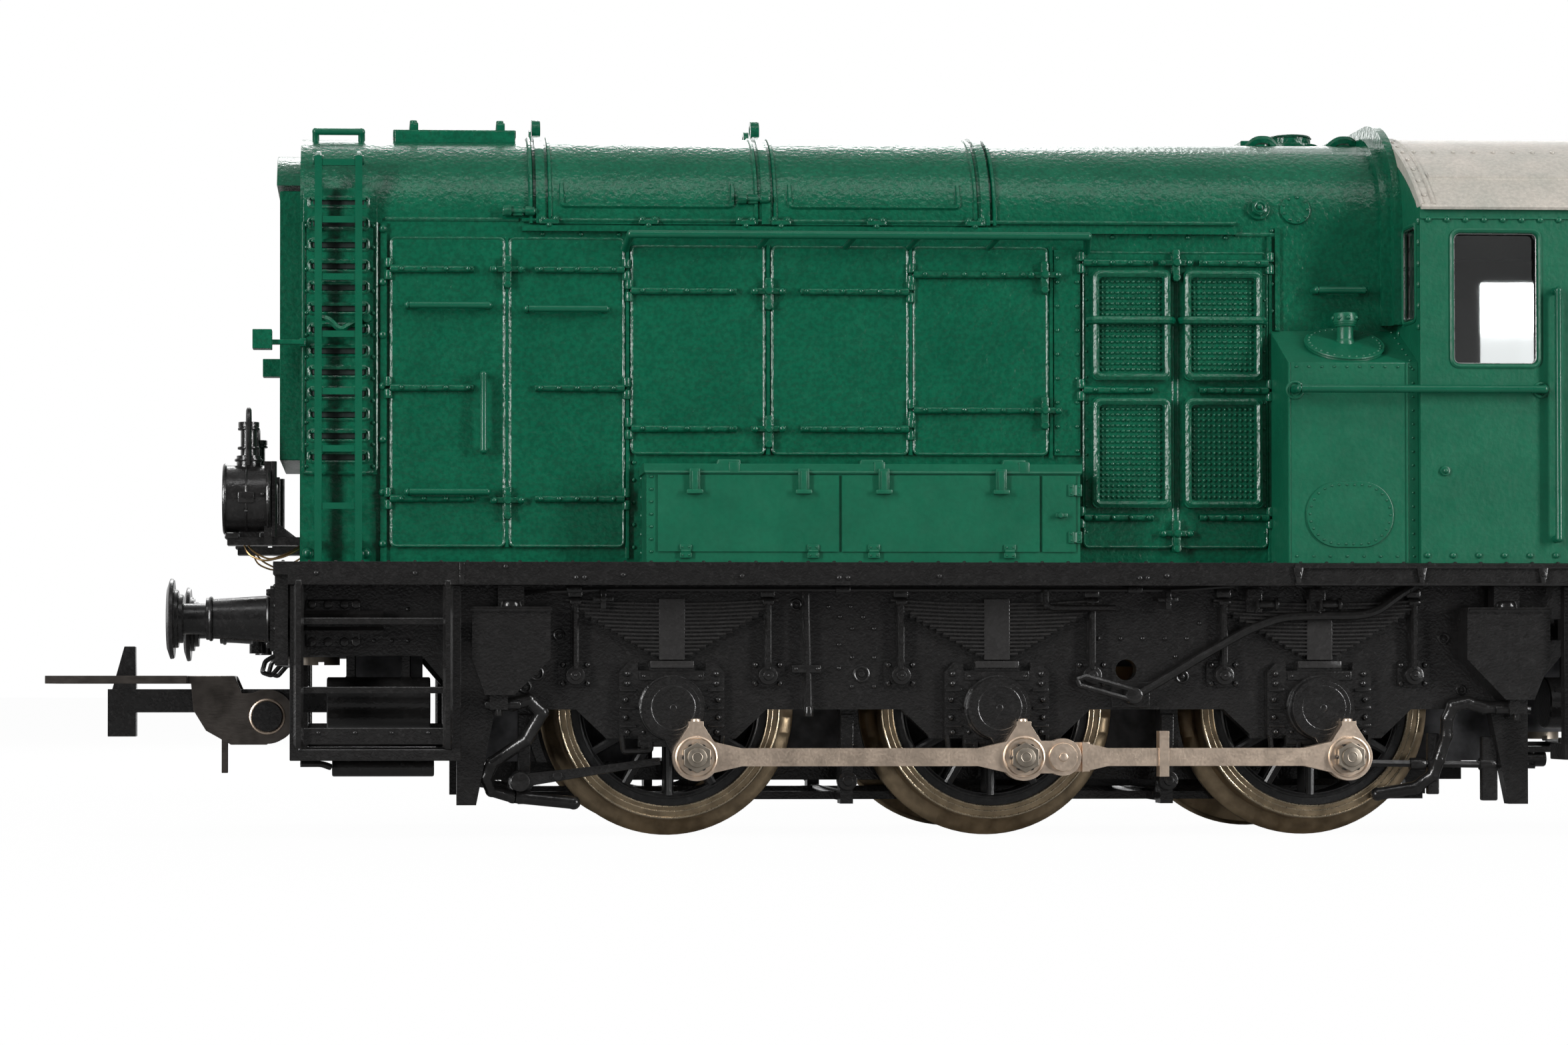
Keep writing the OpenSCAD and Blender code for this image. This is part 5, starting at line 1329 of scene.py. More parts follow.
@dataclass
class SideBoxes(SubAssembly):
    """The battery boxes and the side tanks on the footplate."""

    box_face: float = 13.2
    tank_face: float = 13.9
    bonnet_side: float = BONNET_SIDE
    tank_x: Flat = (17.8, CAB_FRONT)
    tank_top: float = 29.3
    slope: float = 2.4

    def build(self) -> None:
        """Builds the boxes, the tanks and their trim."""
        self.dress("battery_boxes", PANEL_GREEN, Slot.GREEN, 0.07, segments=2)
        self.dress("side_tanks", PANEL_GREEN, Slot.GREEN, 0.1, segments=2)
        self.box_trim()
        self.tank_trim()

    def box_trim(self) -> None:
        """Makes the battery boxes' clamps, hinges, latch, lugs and rivets."""
        face = -self.box_face
        clamp = joined([
            block((-0.33, -0.1, 0), (0.33, 1.35, 0.42), 0.06),
            block((-0.2, 0.0, 0.3), (0.2, 1.2, 0.52), 0.05),
            block((-0.5, -0.22, 0), (0.5, 0.06, 0.56), 0.07),
        ])
        clamps = spread(clamp, [upright(x, face, 21.35) for x in (-18.85, -12.15, -7.2, 0.05)])
        hinge = joined([
            block((-0.36, 0.08, 0), (0.36, 0.42, 0.22), 0.04),
            block((-0.36, -0.42, 0), (0.36, -0.08, 0.22), 0.04),
            bar((-0.3, 0.3), 0, 0.14, 0.12, None, 8),
            studs(
                0.08, 0.08, 6, [Matrix.Translation((x, y, 0.2)) for x in (-0.2, 0.2) for y in (-0.25, 0.25)]
            ),
        ])
        turned = Matrix.Rotation(math.pi / 2, 4, "Z")
        places = [upright(x, face - 0.02, 17.62) for x in (-19.4, -11.55, -7.8, 0.6)]
        places += [upright(4.65, face - 0.02, z) @ turned for z in (18.5, 21.4)]
        hinges = spread(hinge, places)
        latch = joined([bar(3.7, (face - 0.1, face - 0.55), 19.85, 0.2, 0.17, 10, 0.04),
                        block((3.4, face - 0.45, 19.72), (4.15, face - 0.25, 19.98), 0.06)])
        lugs = []
        for x in (-16.4, -7.45, 1.5):
            lugs.append(plate(
                [(x - 0.8, 22.95), (x + 0.8, 22.95), (x + 0.7, 23.5), (x - 0.7, 23.5)], -9.95, -9.2, "Y", 0.1
            ))
            lugs.append(block((x - 0.35, face - 0.2, 22.4), (x + 0.35, face + 0.3, 23.15), 0.1))
        rivets = [facing(-21.5, face, z) for z in run(17.6, 22.2, 0.75)]
        rivets += [facing(-21.95, -11.0, z, FORWARD) for z in run(17.6, 22.2, 1.1)]
        edge = tube([(-21.9, face - 0.12, 22.47), (5.05, face - 0.12, 22.47)], 0.09)
        pieces = [clamps, hinges, latch, *lugs, edge, studs(0.11, 0.09, 6, rivets)]
        self.fit("battery_box_trim", pieces, PANEL_GREEN, Slot.GREEN)

    def tank_trim(self) -> None:
        """Makes the tanks' covers, filler and rivet rows."""
        face = -self.tank_face
        oval = [facing(x, face - 0.1, z) for x, z in oval_spots(19.1, 24.1, 18.1, 21.75, 30)]
        tilt = math.atan2(self.slope, self.tank_face - self.bonnet_side)
        up = Vector((0.0, -math.sin(tilt), math.cos(tilt)))
        inward = Vector((0.0, math.cos(tilt), math.sin(tilt)))
        middle = Vector((21.9, -(self.tank_face + self.bonnet_side) / 2, self.tank_top + self.slope / 2))
        hatch = []
        for i in range(30):
            angle = 2 * math.pi * i / 30
            spot = middle + up * 0.24 + Vector((
                1, 0, 0
            )) * 2.2 * math.cos(angle) + inward * 2.2 * math.sin(angle)
            hatch.append(facing(*spot, tuple(up)))
        edge = ring(tuple(middle + up * 0.2), tuple(up), 2.42, 0.07, 48)
        x0, x1 = self.tank_x
        rows = [facing(x, face, 17.35) for x in run(x0 + 0.5, x1 - 0.3, 1.05)]
        rows += [facing(x1 - 0.35, face, z) for z in run(17.9, 28.9, 0.85)]
        rows += [facing(x, face, self.tank_top - 0.25) for x in run(x0 + 0.5, x1 - 0.5, 0.8)]
        rows += [
            facing(x1 - 0.45, *(middle + inward * t + up * 0.02).yz, tuple(up)) for t in run(-2.3, 2.3, 0.9)
        ]
        strip = tube([(x1 - 0.72, face - 0.02, 17.0), (x1 - 0.72, face - 0.02, self.tank_top)], 0.07)
        corner = tube([(x0 + 0.05, face, 17.0), (x0 + 0.05, face, self.tank_top)], 0.08)
        cap_x, cap_y, base = 22.05, -11.3, self.tank_top + self.slope / 2
        cap = [
            bar(cap_x, cap_y, (base + 0.1, base + 0.5), 0.62, 0.55, 20, 0.06),
            bar(cap_x, cap_y, (base + 1.25, base + 1.5), 0.6, 0.68, 20, 0.05),
            bar(cap_x, cap_y, (base + 1.5, base + 2.14), 0.76, 0.72, 20, 0.08),
            studs(
                0.16, 0.14, 8,
                [
                    facing(
                        cap_x + 0.74 * math.cos(a),
                        cap_y + 0.74 * math.sin(a),
                        base + 1.8,
                        (math.cos(a), math.sin(a), 0.0),
                    )
                    for a in run(0, 5.5, 0.786)
                ],
            ),
        ]
        foot = ring((18.2, face - 0.02, 27.6), ACROSS, 0.5, 0.1, 20)
        self.fit("tank_trim", [studs(0.09, 0.08, 6, oval + hatch + rows), edge, strip, corner, foot, *cap],
                 PANEL_GREEN, Slot.GREEN)


@dataclass
class Cab(SubAssembly):
    """The driver's cab with its roof and glazing."""

    side: float = 14.4
    front: float = CAB_FRONT
    rear: float = 44.2
    eave: float = 38.9
    rise: float = 5.9
    windows: tuple[Edges, ...] = ((28.0, 33.2, 29.2, 37.3), (38.2, 42.4, 29.2, 37.5))

    def build(self) -> None:
        """Builds the cab's pieces."""
        self.dress("cab_shell", CAB_GREEN, Slot.GREEN, 0.08, segments=2)
        self.dress("cab_roof", ROOF_GREY, Slot.ROOF, 0.08, segments=2)
        self.dress("cab_glazing", GLASS, Slot.WINDOW)
        self.dress("cab_interior", CAB_DARK, Slot.INTERIOR, 0.1)
        self.window_frames()
        self.sheet_rivets()
        self.roof_trim()
        self.rail_feet()

    def roof_z(self, y: float) -> float:
        """Gives the height of the roof's top at a place across."""
        return self.eave + self.rise * (1 - (abs(y) / (self.side + 0.3)) ** 2.6)

    def roof_up(self, y: float) -> tuple[float, float, float]:
        """Gives the way the roof faces at a place across."""
        slope = (self.roof_z(y + 0.01) - self.roof_z(y - 0.01)) / 0.02
        return tuple(Vector((0.0, -slope, 1.0)).normalized())

    def window_frames(self) -> None:
        """Makes the raised frames of the windows and their bright inner rims."""
        frames, rims = [], []
        for edges in self.windows:
            frames.append(border(edges, 0.16, -self.side, 0.5, 0.13))
            rims.append(border(edges, -0.04, -self.side + 0.12, 0.35, 0.04))
        ends = []
        for x, low, high, z0, z1 in (
            (self.front, -13.4, -10.9, 32.1, 37.8), (self.rear, -11.6, -5.4, 29.2, 36.9)
        ):
            path = [
                (x, p[0], p[2]) for p in round_path(low + 0.04, high - 0.04, z0 + 0.04, z1 - 0.04, 0, 0.3)
            ]
            ends.append(tube(path, 0.06, closed=True))
            edge = [
                (x, p[0], p[2]) for p in round_path(low - 0.15, high + 0.15, z0 - 0.15, z1 + 0.15, 0, 0.4)
            ]
            frames.append(tube(edge, 0.12, closed=True))
        self.fit("window_frames", frames, PANEL_GREEN, Slot.GREEN)
        self.fit("window_rims", [*rims, *ends], WINDOW_RIM, Slot.SCREW)

    def sheet_rivets(self) -> None:
        """Sets the cab sheets' rivets and the round boss."""
        spots = [facing(x, -self.side, 38.12) for x in run(26.4, 43.9, 1.173)]
        spots += [facing(x, -self.side, 17.4) for x in run(26.3, 43.9, 1.536)]
        spots += [facing(self.front, y, z, FORWARD) for y in (-14.1, -9.75) for z in run(31.5, 38.0, 1.3)]
        spots += [facing(self.rear, -14.0, z, BACKWARD) for z in run(17.8, 38.0, 1.53)]
        spots += [facing(self.rear, y, z, BACKWARD) for z in (17.5, 27.6, 38.2) for y in run(-13.4, 0.0, 1.5)]
        boss = joined([bar(27.4, (-self.side + 0.05, -self.side - 0.14), 22.6, 0.32, 0.3, 16, 0.04),
                       studs(0.2, 0.18, 10, [facing(27.4, -self.side - 0.12, 22.6)])])
        self.fit("cab_rivets", [studs(0.2, 0.14, 8, spots), boss], PANEL_GREEN, Slot.GREEN)

    def roof_trim(self) -> None:
        """Makes the roof's rivet rows, seams and eave strip."""
        spots = []
        for y in run(-13.9, 0.0, 1.16):
            for x in (self.front + 0.4, self.rear - 0.3):
                spots.append(facing(x, y, self.roof_z(y) - 0.02, self.roof_up(y)))
        spots += [facing(x, -9.2, self.roof_z(-9.2) - 0.02, self.roof_up(-9.2)) for x in run(27.0, 43.5, 1.3)]
        rivets = studs(0.15, 0.11, 8, spots)
        arc = [(y, self.roof_z(y) - 0.02) for y in run(-14.6, 0.0, 0.73)]
        seams = [
            tube([(x, y, z) for y, z in arc], 0.13)
            for x in (self.front + 0.1, self.front + 0.85, self.rear - 0.75)
        ]
        eaves = tube(
            [
                (self.front, -self.side - 0.28, self.eave - 0.05),
                (self.rear + 0.2, -self.side - 0.28, self.eave - 0.05),
            ],
            0.17,
        )
        self.fit("roof_rivets", [rivets, *seams, eaves], ROOF_GREY, Slot.ROOF)

    def rail_feet(self) -> None:
        """Makes the round feet of the rail on the cab's side."""
        self.fit(
            "rail_feet",
            [ring((33.4, -self.side - 0.03, 27.6), ACROSS, 0.42, 0.1, 20)],
            PANEL_GREEN, Slot.GREEN,
        )


@dataclass
class Underframe(SubAssembly):
    """Footplate, side frames, beams, steps and everything that hangs below."""

    face: float = 11.6
    detail: float = 12.15
    valance: float = 14.9
    leaf_count: int = 14
    leaf_half: float = 6.6
    leaf_top: float = 14.5
    leaf_stack: float = 3.3
    axles: tuple[float, ...] = AXLES
    axle_z: float = AXLE_Z

    def build(self) -> None:
        """Builds the underframe's pieces."""
        for node, soften in (("footplate", 0.06), ("side_frame_left", 0.05), ("side_frame_right", 0.05),
                             ("buffer_beam_front", 0.05), ("buffer_beam_rear", 0.05), ("corner_steps", 0.06),
                             ("sanding_gear", 0.05), ("brake_gear", 0.05), ("keeper_plate", 0.08),
                             ("air_tanks", 0.1), ("lamp_bodies", 0.05), ("brake_hoses", 0.0)):
            self.dress(node, FRAME_BLACK, Slot.BLACK, soften)
        self.dress("buffer_sleeves", GLOSS_BLACK, Slot.BLACK, 0.04)
        self.dress("chassis_block", DIE_CAST, Slot.CHASSIS, 0.1)
        self.dress("lamp_lenses", LENS, Slot.LENS)
        self.dress("keeper_screws", NUT, Slot.SCREW)
        self.dress("body_screws", NUT, Slot.SCREW)
        self.springs()
        self.hangers()
        self.axleboxes()
        self.frame_bolts()
        self.pipes()
        self.valance_trim()
        self.steps()
        self.end_brackets()
        self.brake_links()
        self.sandbox_trim()
        self.lamp_trim()

    def springs(self) -> None:
        """Makes the bearing springs of bowed leaves with their buckles."""
        count, half, top = self.leaf_count, self.leaf_half, self.leaf_top
        step = self.leaf_stack / count
        leaves = []
        for i in range(count):
            wide = half - i * (half - 0.9) / count
            low = top - (i + 1) * step
            leaf = block(
                (-wide, -self.face - 0.62, low + 0.055), (wide, -self.face - 0.3, low + step - 0.035)
            )
            pick(leaf)
            bpy.ops.object.mode_set(mode="EDIT")
            for cut in (-wide / 2, wide / 2, 0):
                bpy.ops.mesh.select_all(action="SELECT")
                bpy.ops.mesh.bisect(plane_co=(cut, 0, 0), plane_no=BACKWARD)
            bpy.ops.object.mode_set(mode="OBJECT")
            for corner in leaf.data.vertices:
                corner.co.z += 0.26 * (corner.co.x / half) ** 2
            leaves.append(rounded(leaf, 0.04, 1))
        buckle = [block((-0.8, -self.detail - 0.08, 10.95), (0.8, -self.face, 14.75), 0.08),
                  block((-1.35, -self.detail - 0.1, 10.45), (1.35, -self.face, 10.9), 0.06)]
        spring = joined([*leaves, *buckle])
        spring = spread(spring, [Matrix.Translation((x, 0, 0)) for x in self.axles])
        self.fit("bearing_springs", [spring], LIT_SPRING_BLACK, Slot.BLACK, angle=30.0)

    def hangers(self) -> None:
        """Makes the spring hangers with their pivots and bracket bolts."""
        items = [
            tube([(0, -self.detail - 0.05, 14.5), (0, -self.detail - 0.05, 10.4)], 0.2, 8),
            bar(0, (-self.face - 0.1, -self.detail - 0.15), 10.0, 0.62, 0.58, 20, 0.06),
            bar(0, (-self.detail - 0.1, -self.detail - 0.35), 10.0, 0.34, 0.3, 16, 0.05),
            studs(0.12, 0.1, 8, [facing(0, -self.detail - 0.33, 10.0)]),
            bar((-0.35, 0.35), -self.detail, 14.55, 0.24, None, 10, 0.05),
            block((-0.45, -self.face - 0.5, 14.8), (0.45, -self.face, 15.4), 0.1),
            studs(
                0.2, 0.17, 8, [facing(x, -self.face - 0.18, z) for x in (-0.75, 0.75) for z in (9.5, 10.65)]
            ),
        ]
        hanger = spread(
            joined(items),
            [Matrix.Translation((x + side * 5.95, 0, 0)) for x in self.axles for side in (-1, 1)],
        )
        self.fit("spring_hangers", [hanger], FRAME_BLACK, Slot.BLACK)

    def axleboxes(self) -> None:
        """Makes the axleboxes' rings, keeps, ribs and guide bolts."""
        face = -self.detail + 0.08
        items = [
            ring((0, face, self.axle_z), ACROSS, 1.9, 0.16, 40),
            block((-2.0, face - 0.08, 9.7), (2.0, face + 0.1, 10.25), 0.07),
            block((-2.0, face - 0.05, 5.7), (2.0, face + 0.1, 6.05), 0.06),
        ]
        for side in (-1, 1):
            items += [
                block(
                    (side * 2.7 - 0.5, face - 0.14, z - 0.09), (side * 2.7 + 0.5, face + 0.1, z + 0.09), 0.04
                )
                for z in (9.1, 8.0, 6.9)
            ]
            items.append(studs(0.21, 0.19, 8, [facing(side * x, face, z) for x, z in (
                (2.75, 10.1), (2.75, 9.5), (2.85, 8.5), (2.85, 7.4), (2.75, 6.5))]))
            items.append(tube([(side * 1.3, face, 5.9), (side * 1.3, face, 5.35), (side * 3.0, face, 5.3),
                               (side * 3.1, face, 6.3)], 0.17, 8, 0.2))
        items.append(studs(0.15, 0.13, 8, [facing(x, face, z) for x in (-1.75, 1.75) for z in (9.95, 6.5)]))
        box = spread(joined(items), [Matrix.Translation((x, 0, 0)) for x in self.axles])
        self.fit("axlebox_trim", [box], FRAME_BLACK, Slot.BLACK)

    def frame_bolts(self) -> None:
        """Sets the side frames' rivets and bolts."""
        small = [
            (-10.41, 14.25), (-9.03, 14.25), (-9.69, 13.63), (-8.25, 13.6), (-8.93, 12.9), (-7.57, 12.9),
            (-9.75, 11.9), (-8.93, 11.1), (-7.57, 11.1), (-9.75, 10.45), (-8.97, 9.32), (-7.57, 9.32),
            (6.42, 12.3), (7.82, 12.3), (9.19, 12.3), (10.57, 12.3), (11.96, 12.3), (12.74, 13.26),
            (11.24, 11.17), (-36.4, 14.08), (-38.5, 12.13), (-37.4, 12.13), (-36.4, 12.13), (36.4, 14.08),
            (38.5, 12.13), (37.4, 12.13),
        ]
        large = [
            (-8.35, 10.08, 0.45), (11.65, 9.94, 0.35), (-27.1, 12.5, 0.32), (-28.5, 10.14, 0.4),
            (-29.2, 9.3, 0.35), (28.1, 12.3, 0.3), (29.2, 9.1, 0.26), (-12.4, 14.4, 0.3),
        ]
        items = [studs(0.15, 0.12, 8, [facing(x, -self.face, z) for x, z in small])]
        for x, z, r in large:
            items.append(ring((x, -self.face - 0.02, z), ACROSS, r, 0.09, 20))
            items.append(bar(x, (-self.face + 0.05, -self.face - 0.16), z, r * 0.5, r * 0.4, 12, 0.04))
        self.fit("frame_bolts", items, FRAME_BLACK, Slot.BLACK)

    def pipes(self) -> None:
        """Makes the air pipes, drain rod, taps and reversing lever on the frames."""
        y = -12.35
        items = [tube(
            [(-29.7, y, 15.1), (-24.0, y, 15.3), (11.5, y, 15.3), (13.2, y, 15.45), (15.5, -11.9, 15.6)],
            0.13, 8, 1.0,
        )]
        items += [
            block((x - 0.45, y - 0.22, 15.1), (x + 0.45, y + 0.4, 15.5), 0.06) for x in (-26.2, -9.6, 8.55)
        ]
        items.append(tube(
            [
                (8.6, -12.5, 8.8), (10.2, -12.5, 9.7), (12.7, -12.5, 11.2), (15.5, -12.6, 12.8),
                (17.6, -12.65, 13.6), (19.6, -12.7, 13.7), (22.5, -12.7, 13.7), (23.7, -12.65, 14.0),
                (24.9, -12.5, 14.9), (26.2, -12.0, 15.6),
            ],
            0.28, 12, 0.8,
        ))
        items.append(bar(8.4, (-self.face, -13.0), 8.75, 0.6, 0.52, 16, 0.08))
        items.append(block((7.2, -self.face - 0.25, 8.0), (9.6, -self.face, 9.6), 0.08))
        items.append(tube(
            [
                (4.85, -12.85, 9.75), (5.4, -12.85, 9.95), (8.6, -12.85, 9.05), (8.9, -12.85, 8.7),
                (8.4, -12.85, 8.45), (5.0, -12.85, 9.4), (4.85, -12.85, 9.75),
            ],
            0.16, 8,
        ))
        items.append(tube(
            [(-11.85, -12.0, 15.4), (-11.85, -12.1, 14.0), (-11.72, -12.2, 8.0), (-11.72, -12.2, 7.6)],
            0.22, 8,
        ))
        items.append(bar(-11.72, -12.2, (7.45, 8.1), 0.32, 0.28, 12, 0.08))
        items.append(block((-12.75, -12.35, 10.15), (-10.95, -self.face, 10.65), 0.08))
        items.append(studs(0.16, 0.12, 8, [facing(x, -12.3, 10.4) for x in (-12.5, -11.15)]))
        items.append(tube(
            [(2.95, -12.6, 15.3), (2.95, -12.6, 14.4), (3.3, -12.6, 14.15), (7.3, -12.6, 14.15)], 0.2, 8, 0.3
        ))
        plus = joined([
            block((-0.62, -0.14, 0), (0.62, 0.14, 0.4), 0.05),
            block((-0.16, -0.62, 0), (0.16, 0.62, 0.5), 0.05),
            bar(0, 0, (0.3, 0.62), 0.24, 0.2, 10, 0.04),
        ])
        items.append(spread(plus, [upright(x, -12.2, 14.7) for x in (-24.4, 10.6)]))
        for x in (16.2, 20.15):
            items.append(block((x - 0.7, -12.5, 13.9), (x + 0.3, -self.face, 15.4), 0.08))
            items.append(bar((x - 0.1, x + 1.1), -12.7, 14.4, 0.26, 0.26, 12, 0.04))
            items.append(bar((x + 1.0, x + 1.2), -12.7, 14.4, 0.42, 0.42, 12, 0.05))
            items.append(tube(
                [(x - 0.1, -12.9, 14.7), (x - 0.1, -12.95, 14.2), (x - 0.25, -12.95, 13.9)], 0.12
            ))
        items.append(block((3.1, -self.face - 0.12, 13.2), (4.1, -self.face, 13.7), 0.05))
        self.fit("frame_pipes", items, FRAME_BLACK, Slot.BLACK)

    def valance_trim(self) -> None:
        """Makes the footplate edge's lips, gussets and bolts."""
        y = -self.valance
        items = [
            block((17.9, y - 0.22, 16.55), (44.4, y + 0.1, 16.85), 0.05),
            block((17.9, y - 0.22, 15.5), (44.4, y + 0.1, 15.68), 0.05),
            block((-33.3, y - 0.06, 15.52), (-33.0, y + 0.1, 16.85), 0.04),
        ]
        for x in (18.1, 25.75, 33.3, 40.9):
            items.append(plate(
                [(x - 0.3, 16.6), (x + 0.3, 16.6), (x + 0.12, 15.6), (x - 0.12, 15.6)],
                y - 0.24, y + 0.05, "Y", 0.05,
            ))
            items.append(bar(x, (y, y - 0.3), 16.2, 0.2, 0.16, 10, 0.04))
        spots = [
            (-26.2, 15.95), (-25.7, 15.95), (-23.35, 16.1), (-16.1, 16.05), (-10.15, 15.95), (-9.6, 15.95),
            (-4.0, 16.05), (8.35, 15.95), (8.8, 15.95), (10.0, 16.1), (-30.5, 16.6), (-42.0, 16.2),
            (-36.0, 16.2),
        ]
        items.append(studs(0.17, 0.12, 8, [facing(x, y, z) for x, z in spots]))
        top = [facing(x, y + 0.45, DECK, UPWARD) for x in run(-44.0, 44.0, 1.6)]
        items.append(studs(0.13, 0.08, 6, top))
        self.fit("valance_trim", items, FRAME_BLACK, Slot.BLACK)

    def steps(self) -> None:
        """Makes the round rods, step plates' bolts and low pipes at the corners."""
        for end, xs in ((-1, (43.05, 34.0)), (1, (43.05, 35.6))):
            items = [
                tube(
                    [
                        (end * x, -14.4, 16.0),
                        (end * x, -14.75, 15.6),
                        (end * x, -14.75, 6.0),
                        (end * x, -14.5, 5.7),
                    ],
                    0.3, 8, 0.3,
                )
                for x in xs
            ]
            items += [bar(end * x, (-14.4, -14.85), 6.3, 0.34, 0.3, 12, 0.05) for x in xs]
            low, high = sorted((end * xs[0], end * xs[1]))
            items.append(studs(
                0.14, 0.1, 8, [facing(x, -14.4, 6.5) for x in run(low + 1.2, high - 1.2, 1.9)]
            ))
            items.append(bar((low + 2.0, high - 0.8), -12.3, 4.35, 0.55, None, 16, 0.1))
            items += [
                block((x - 0.15, -12.7, 4.2), (x + 0.15, -11.9, 5.0), 0.05) for x in (low + 3.0, high - 1.8)
            ]
            items.append(tube(
                [(low + 0.1, -13.6, 4.6), (low + 1.4, -13.4, 4.6), (low + 1.9, -13.0, 4.4)], 0.22, 8, 0.3
            ))
            self.fit("front_step_rods" if end < 0 else "rear_step_rods", items, FRAME_BLACK, Slot.BLACK)

    def end_brackets(self) -> None:
        """Makes the bolted brackets and rods behind the steps."""
        items = [block((-42.7, -12.0, 11.75), (-39.35, -self.face, 14.65), 0.1)]
        items += [tube([(-44.0, -12.2, z), (-37.9, -12.2, z)], 0.26, 8) for z in (13.75, 12.75)]
        spots = [facing(x, -11.95, z) for x in (-42.3, -41.3, -40.3, -39.6) for z in (14.35, 12.05)]
        items.append(spread(bar(0, 0, (0, 0.28), 0.34, 0.28, 6, 0.04), spots))
        self.fit("end_brackets", items, FRAME_BLACK, Slot.BLACK, ends=True)
        bolts = [facing(-44.85, y, z, FORWARD) for y in (-11.6, -8.4) for z in (11.9, 15.1)]
        more = [facing(-44.5, y, z, FORWARD) for y in run(-13.8, -13.8, 1) for z in (11.4, 12.8, 14.2, 15.4)]
        more += [facing(-44.5, y, 15.5, FORWARD) for y in run(-6.5, -1.0, 1.4)]
        hook = tube(
            [
                (-44.6, -7.0, 11.3), (-45.3, -7.0, 10.9), (-45.5, -7.0, 10.2), (-44.9, -7.0, 10.0),
                (-44.2, -7.0, 10.8),
            ],
            0.17, 8, 0.15,
        )
        items = [spread(bar(0, 0, (0, 0.26), 0.24, 0.2, 6, 0.04), bolts), studs(0.16, 0.12, 8, more), hook]
        self.fit("beam_bolts", items, FRAME_BLACK, Slot.BLACK, ends=True)

    def brake_links(self) -> None:
        """Makes the brake gear's bosses, rods and adjusters."""
        items = []
        for x in self.axles:
            items.append(bar(x - 9.0, (-9.4, -10.1), 3.45, 0.66, 0.6, 20, 0.07))
            items.append(bar(x - 9.0, (-10.0, -10.35), 3.45, 0.36, 0.3, 12, 0.05))
            items.append(plate(
                [(x - 9.35, 3.5), (x - 8.65, 3.5), (x - 8.6, 7.6), (x - 9.4, 7.6)], -9.75, -9.4, "Y", 0.06
            ))
        items.append(plate(
            [(-29.5, 3.1), (-29.3, 3.95), (-25.0, 4.4), (-20.9, 4.95), (-20.8, 4.5), (-25.0, 3.85)],
            -12.05, -11.75, "Y", 0.08,
        ))
        items.append(bar(-29.5, (-9.8, -12.25), 3.46, 0.66, 0.6, 20, 0.08))
        items.append(bar(-27.2, (-11.7, -12.25), 3.8, 0.34, 0.3, 12, 0.05))
        items.append(tube([(22.6, -11.0, 4.55), (34.0, -11.0, 4.4)], 0.24, 8))
        items += [bar((x - 0.5, x + 0.5), -11.0, 4.48, 0.4, None, 12, 0.06) for x in (26.6, 31.0)]
        items += [
            block((27.2, -11.3, 2.6), (27.9, -10.7, 6.4), 0.08),
            block((30.6, -11.3, 2.2), (31.6, -10.7, 6.2), 0.1),
        ]
        self.fit("brake_bosses", items, FRAME_BLACK, Slot.BLACK)

    def sandbox_trim(self) -> None:
        """Makes the sandboxes' seams, bolts and valves."""
        items = []
        for x, low, end in ((-30.1, 8.8, -1), (31.6, 8.5, 1)):
            items.append(bar((x + end * 1.6, x - end * 0.6), -12.7, low - 0.6, 0.3, None, 12, 0.06))
            items.append(bar(x + end * 0.75, -12.7, (low - 1.3, low - 0.4), 0.24, None, 10, 0.05))
            items.append(bar(x, -13.0, (14.2, 14.6), 0.7, 0.6, 16, 0.08))
            items.append(tube([(x - 2.5, -13.72, 14.05), (x + 2.5, -13.72, 14.05)], 0.1))
        self.fit("sandbox_trim", items, FRAME_BLACK, Slot.BLACK)

    def lamp_trim(self) -> None:
        """Makes the lamps' hoops, handles, seams and wires."""
        y, z, r = -8.4, 21.0, 2.1
        items = [
            ring((x, y, z), BACKWARD, r, w, 36) for x, w in ((-47.75, 0.13), (-46.4, 0.07), (-45.05, 0.12))
        ]
        items.append(tube(
            [
                (-46.3, y - 0.75, z + 2.1),
                (-46.3, y - 0.95, z + 3.2),
                (-46.3, y - 0.45, z + 5.2),
                (-46.3, y, z + 5.7),
                (-46.3, y + 0.45, z + 5.2),
                (-46.3, y + 0.95, z + 3.2),
                (-46.3, y + 0.75, z + 2.1),
            ],
            0.17, 8, 0.5,
        ))
        items += [
            bar(-46.3, y, (z + h, z + h + 0.16), w, None, 20, 0.04)
            for h, w in ((2.35, 0.88), (3.1, 0.7), (4.3, 0.68))
        ]
        items.append(block((-46.9, y - r - 0.12, z - 0.35), (-45.9, y - r + 0.25, z + 0.35), 0.08))
        items.append(studs(
            0.14, 0.12, 8, [facing(-46.4, y - r - 0.02, z - 0.85), facing(-45.4, y - r - 0.02, z + 0.2)]
        ))
        items.append(tube([(-44.72, y - 1.1, 18.6), (-44.72, y - 1.1, z + 2.3)], 0.2, 8))
        items.append(block((-47.75, y - 1.0, 18.5), (-46.9, y + 1.0, 18.85), 0.06))
        self.fit("lamp_trim", items, FRAME_BLACK, Slot.BLACK, ends=True)
        wires = [
            tube(
                [
                    (-46.6, y, 18.2),
                    (-46.3, y - 0.3, 17.5),
                    (-45.3, y - 0.6, 17.1),
                    (-44.0, y - 0.5, 17.4),
                    (-43.1, y - 0.2, 17.9),
                ],
                0.06, 8, 0.4,
            ),
            tube(
                [
                    (-46.4, y + 0.3, 18.2),
                    (-46.0, y, 17.7),
                    (-45.0, y - 0.1, 17.2),
                    (-43.9, y + 0.1, 17.6),
                    (-43.1, y + 0.3, 18.1),
                ],
                0.06, 8, 0.4,
            ),
        ]
        self.fit("lamp_wires", wires, BRONZE, Slot.PICKUP)


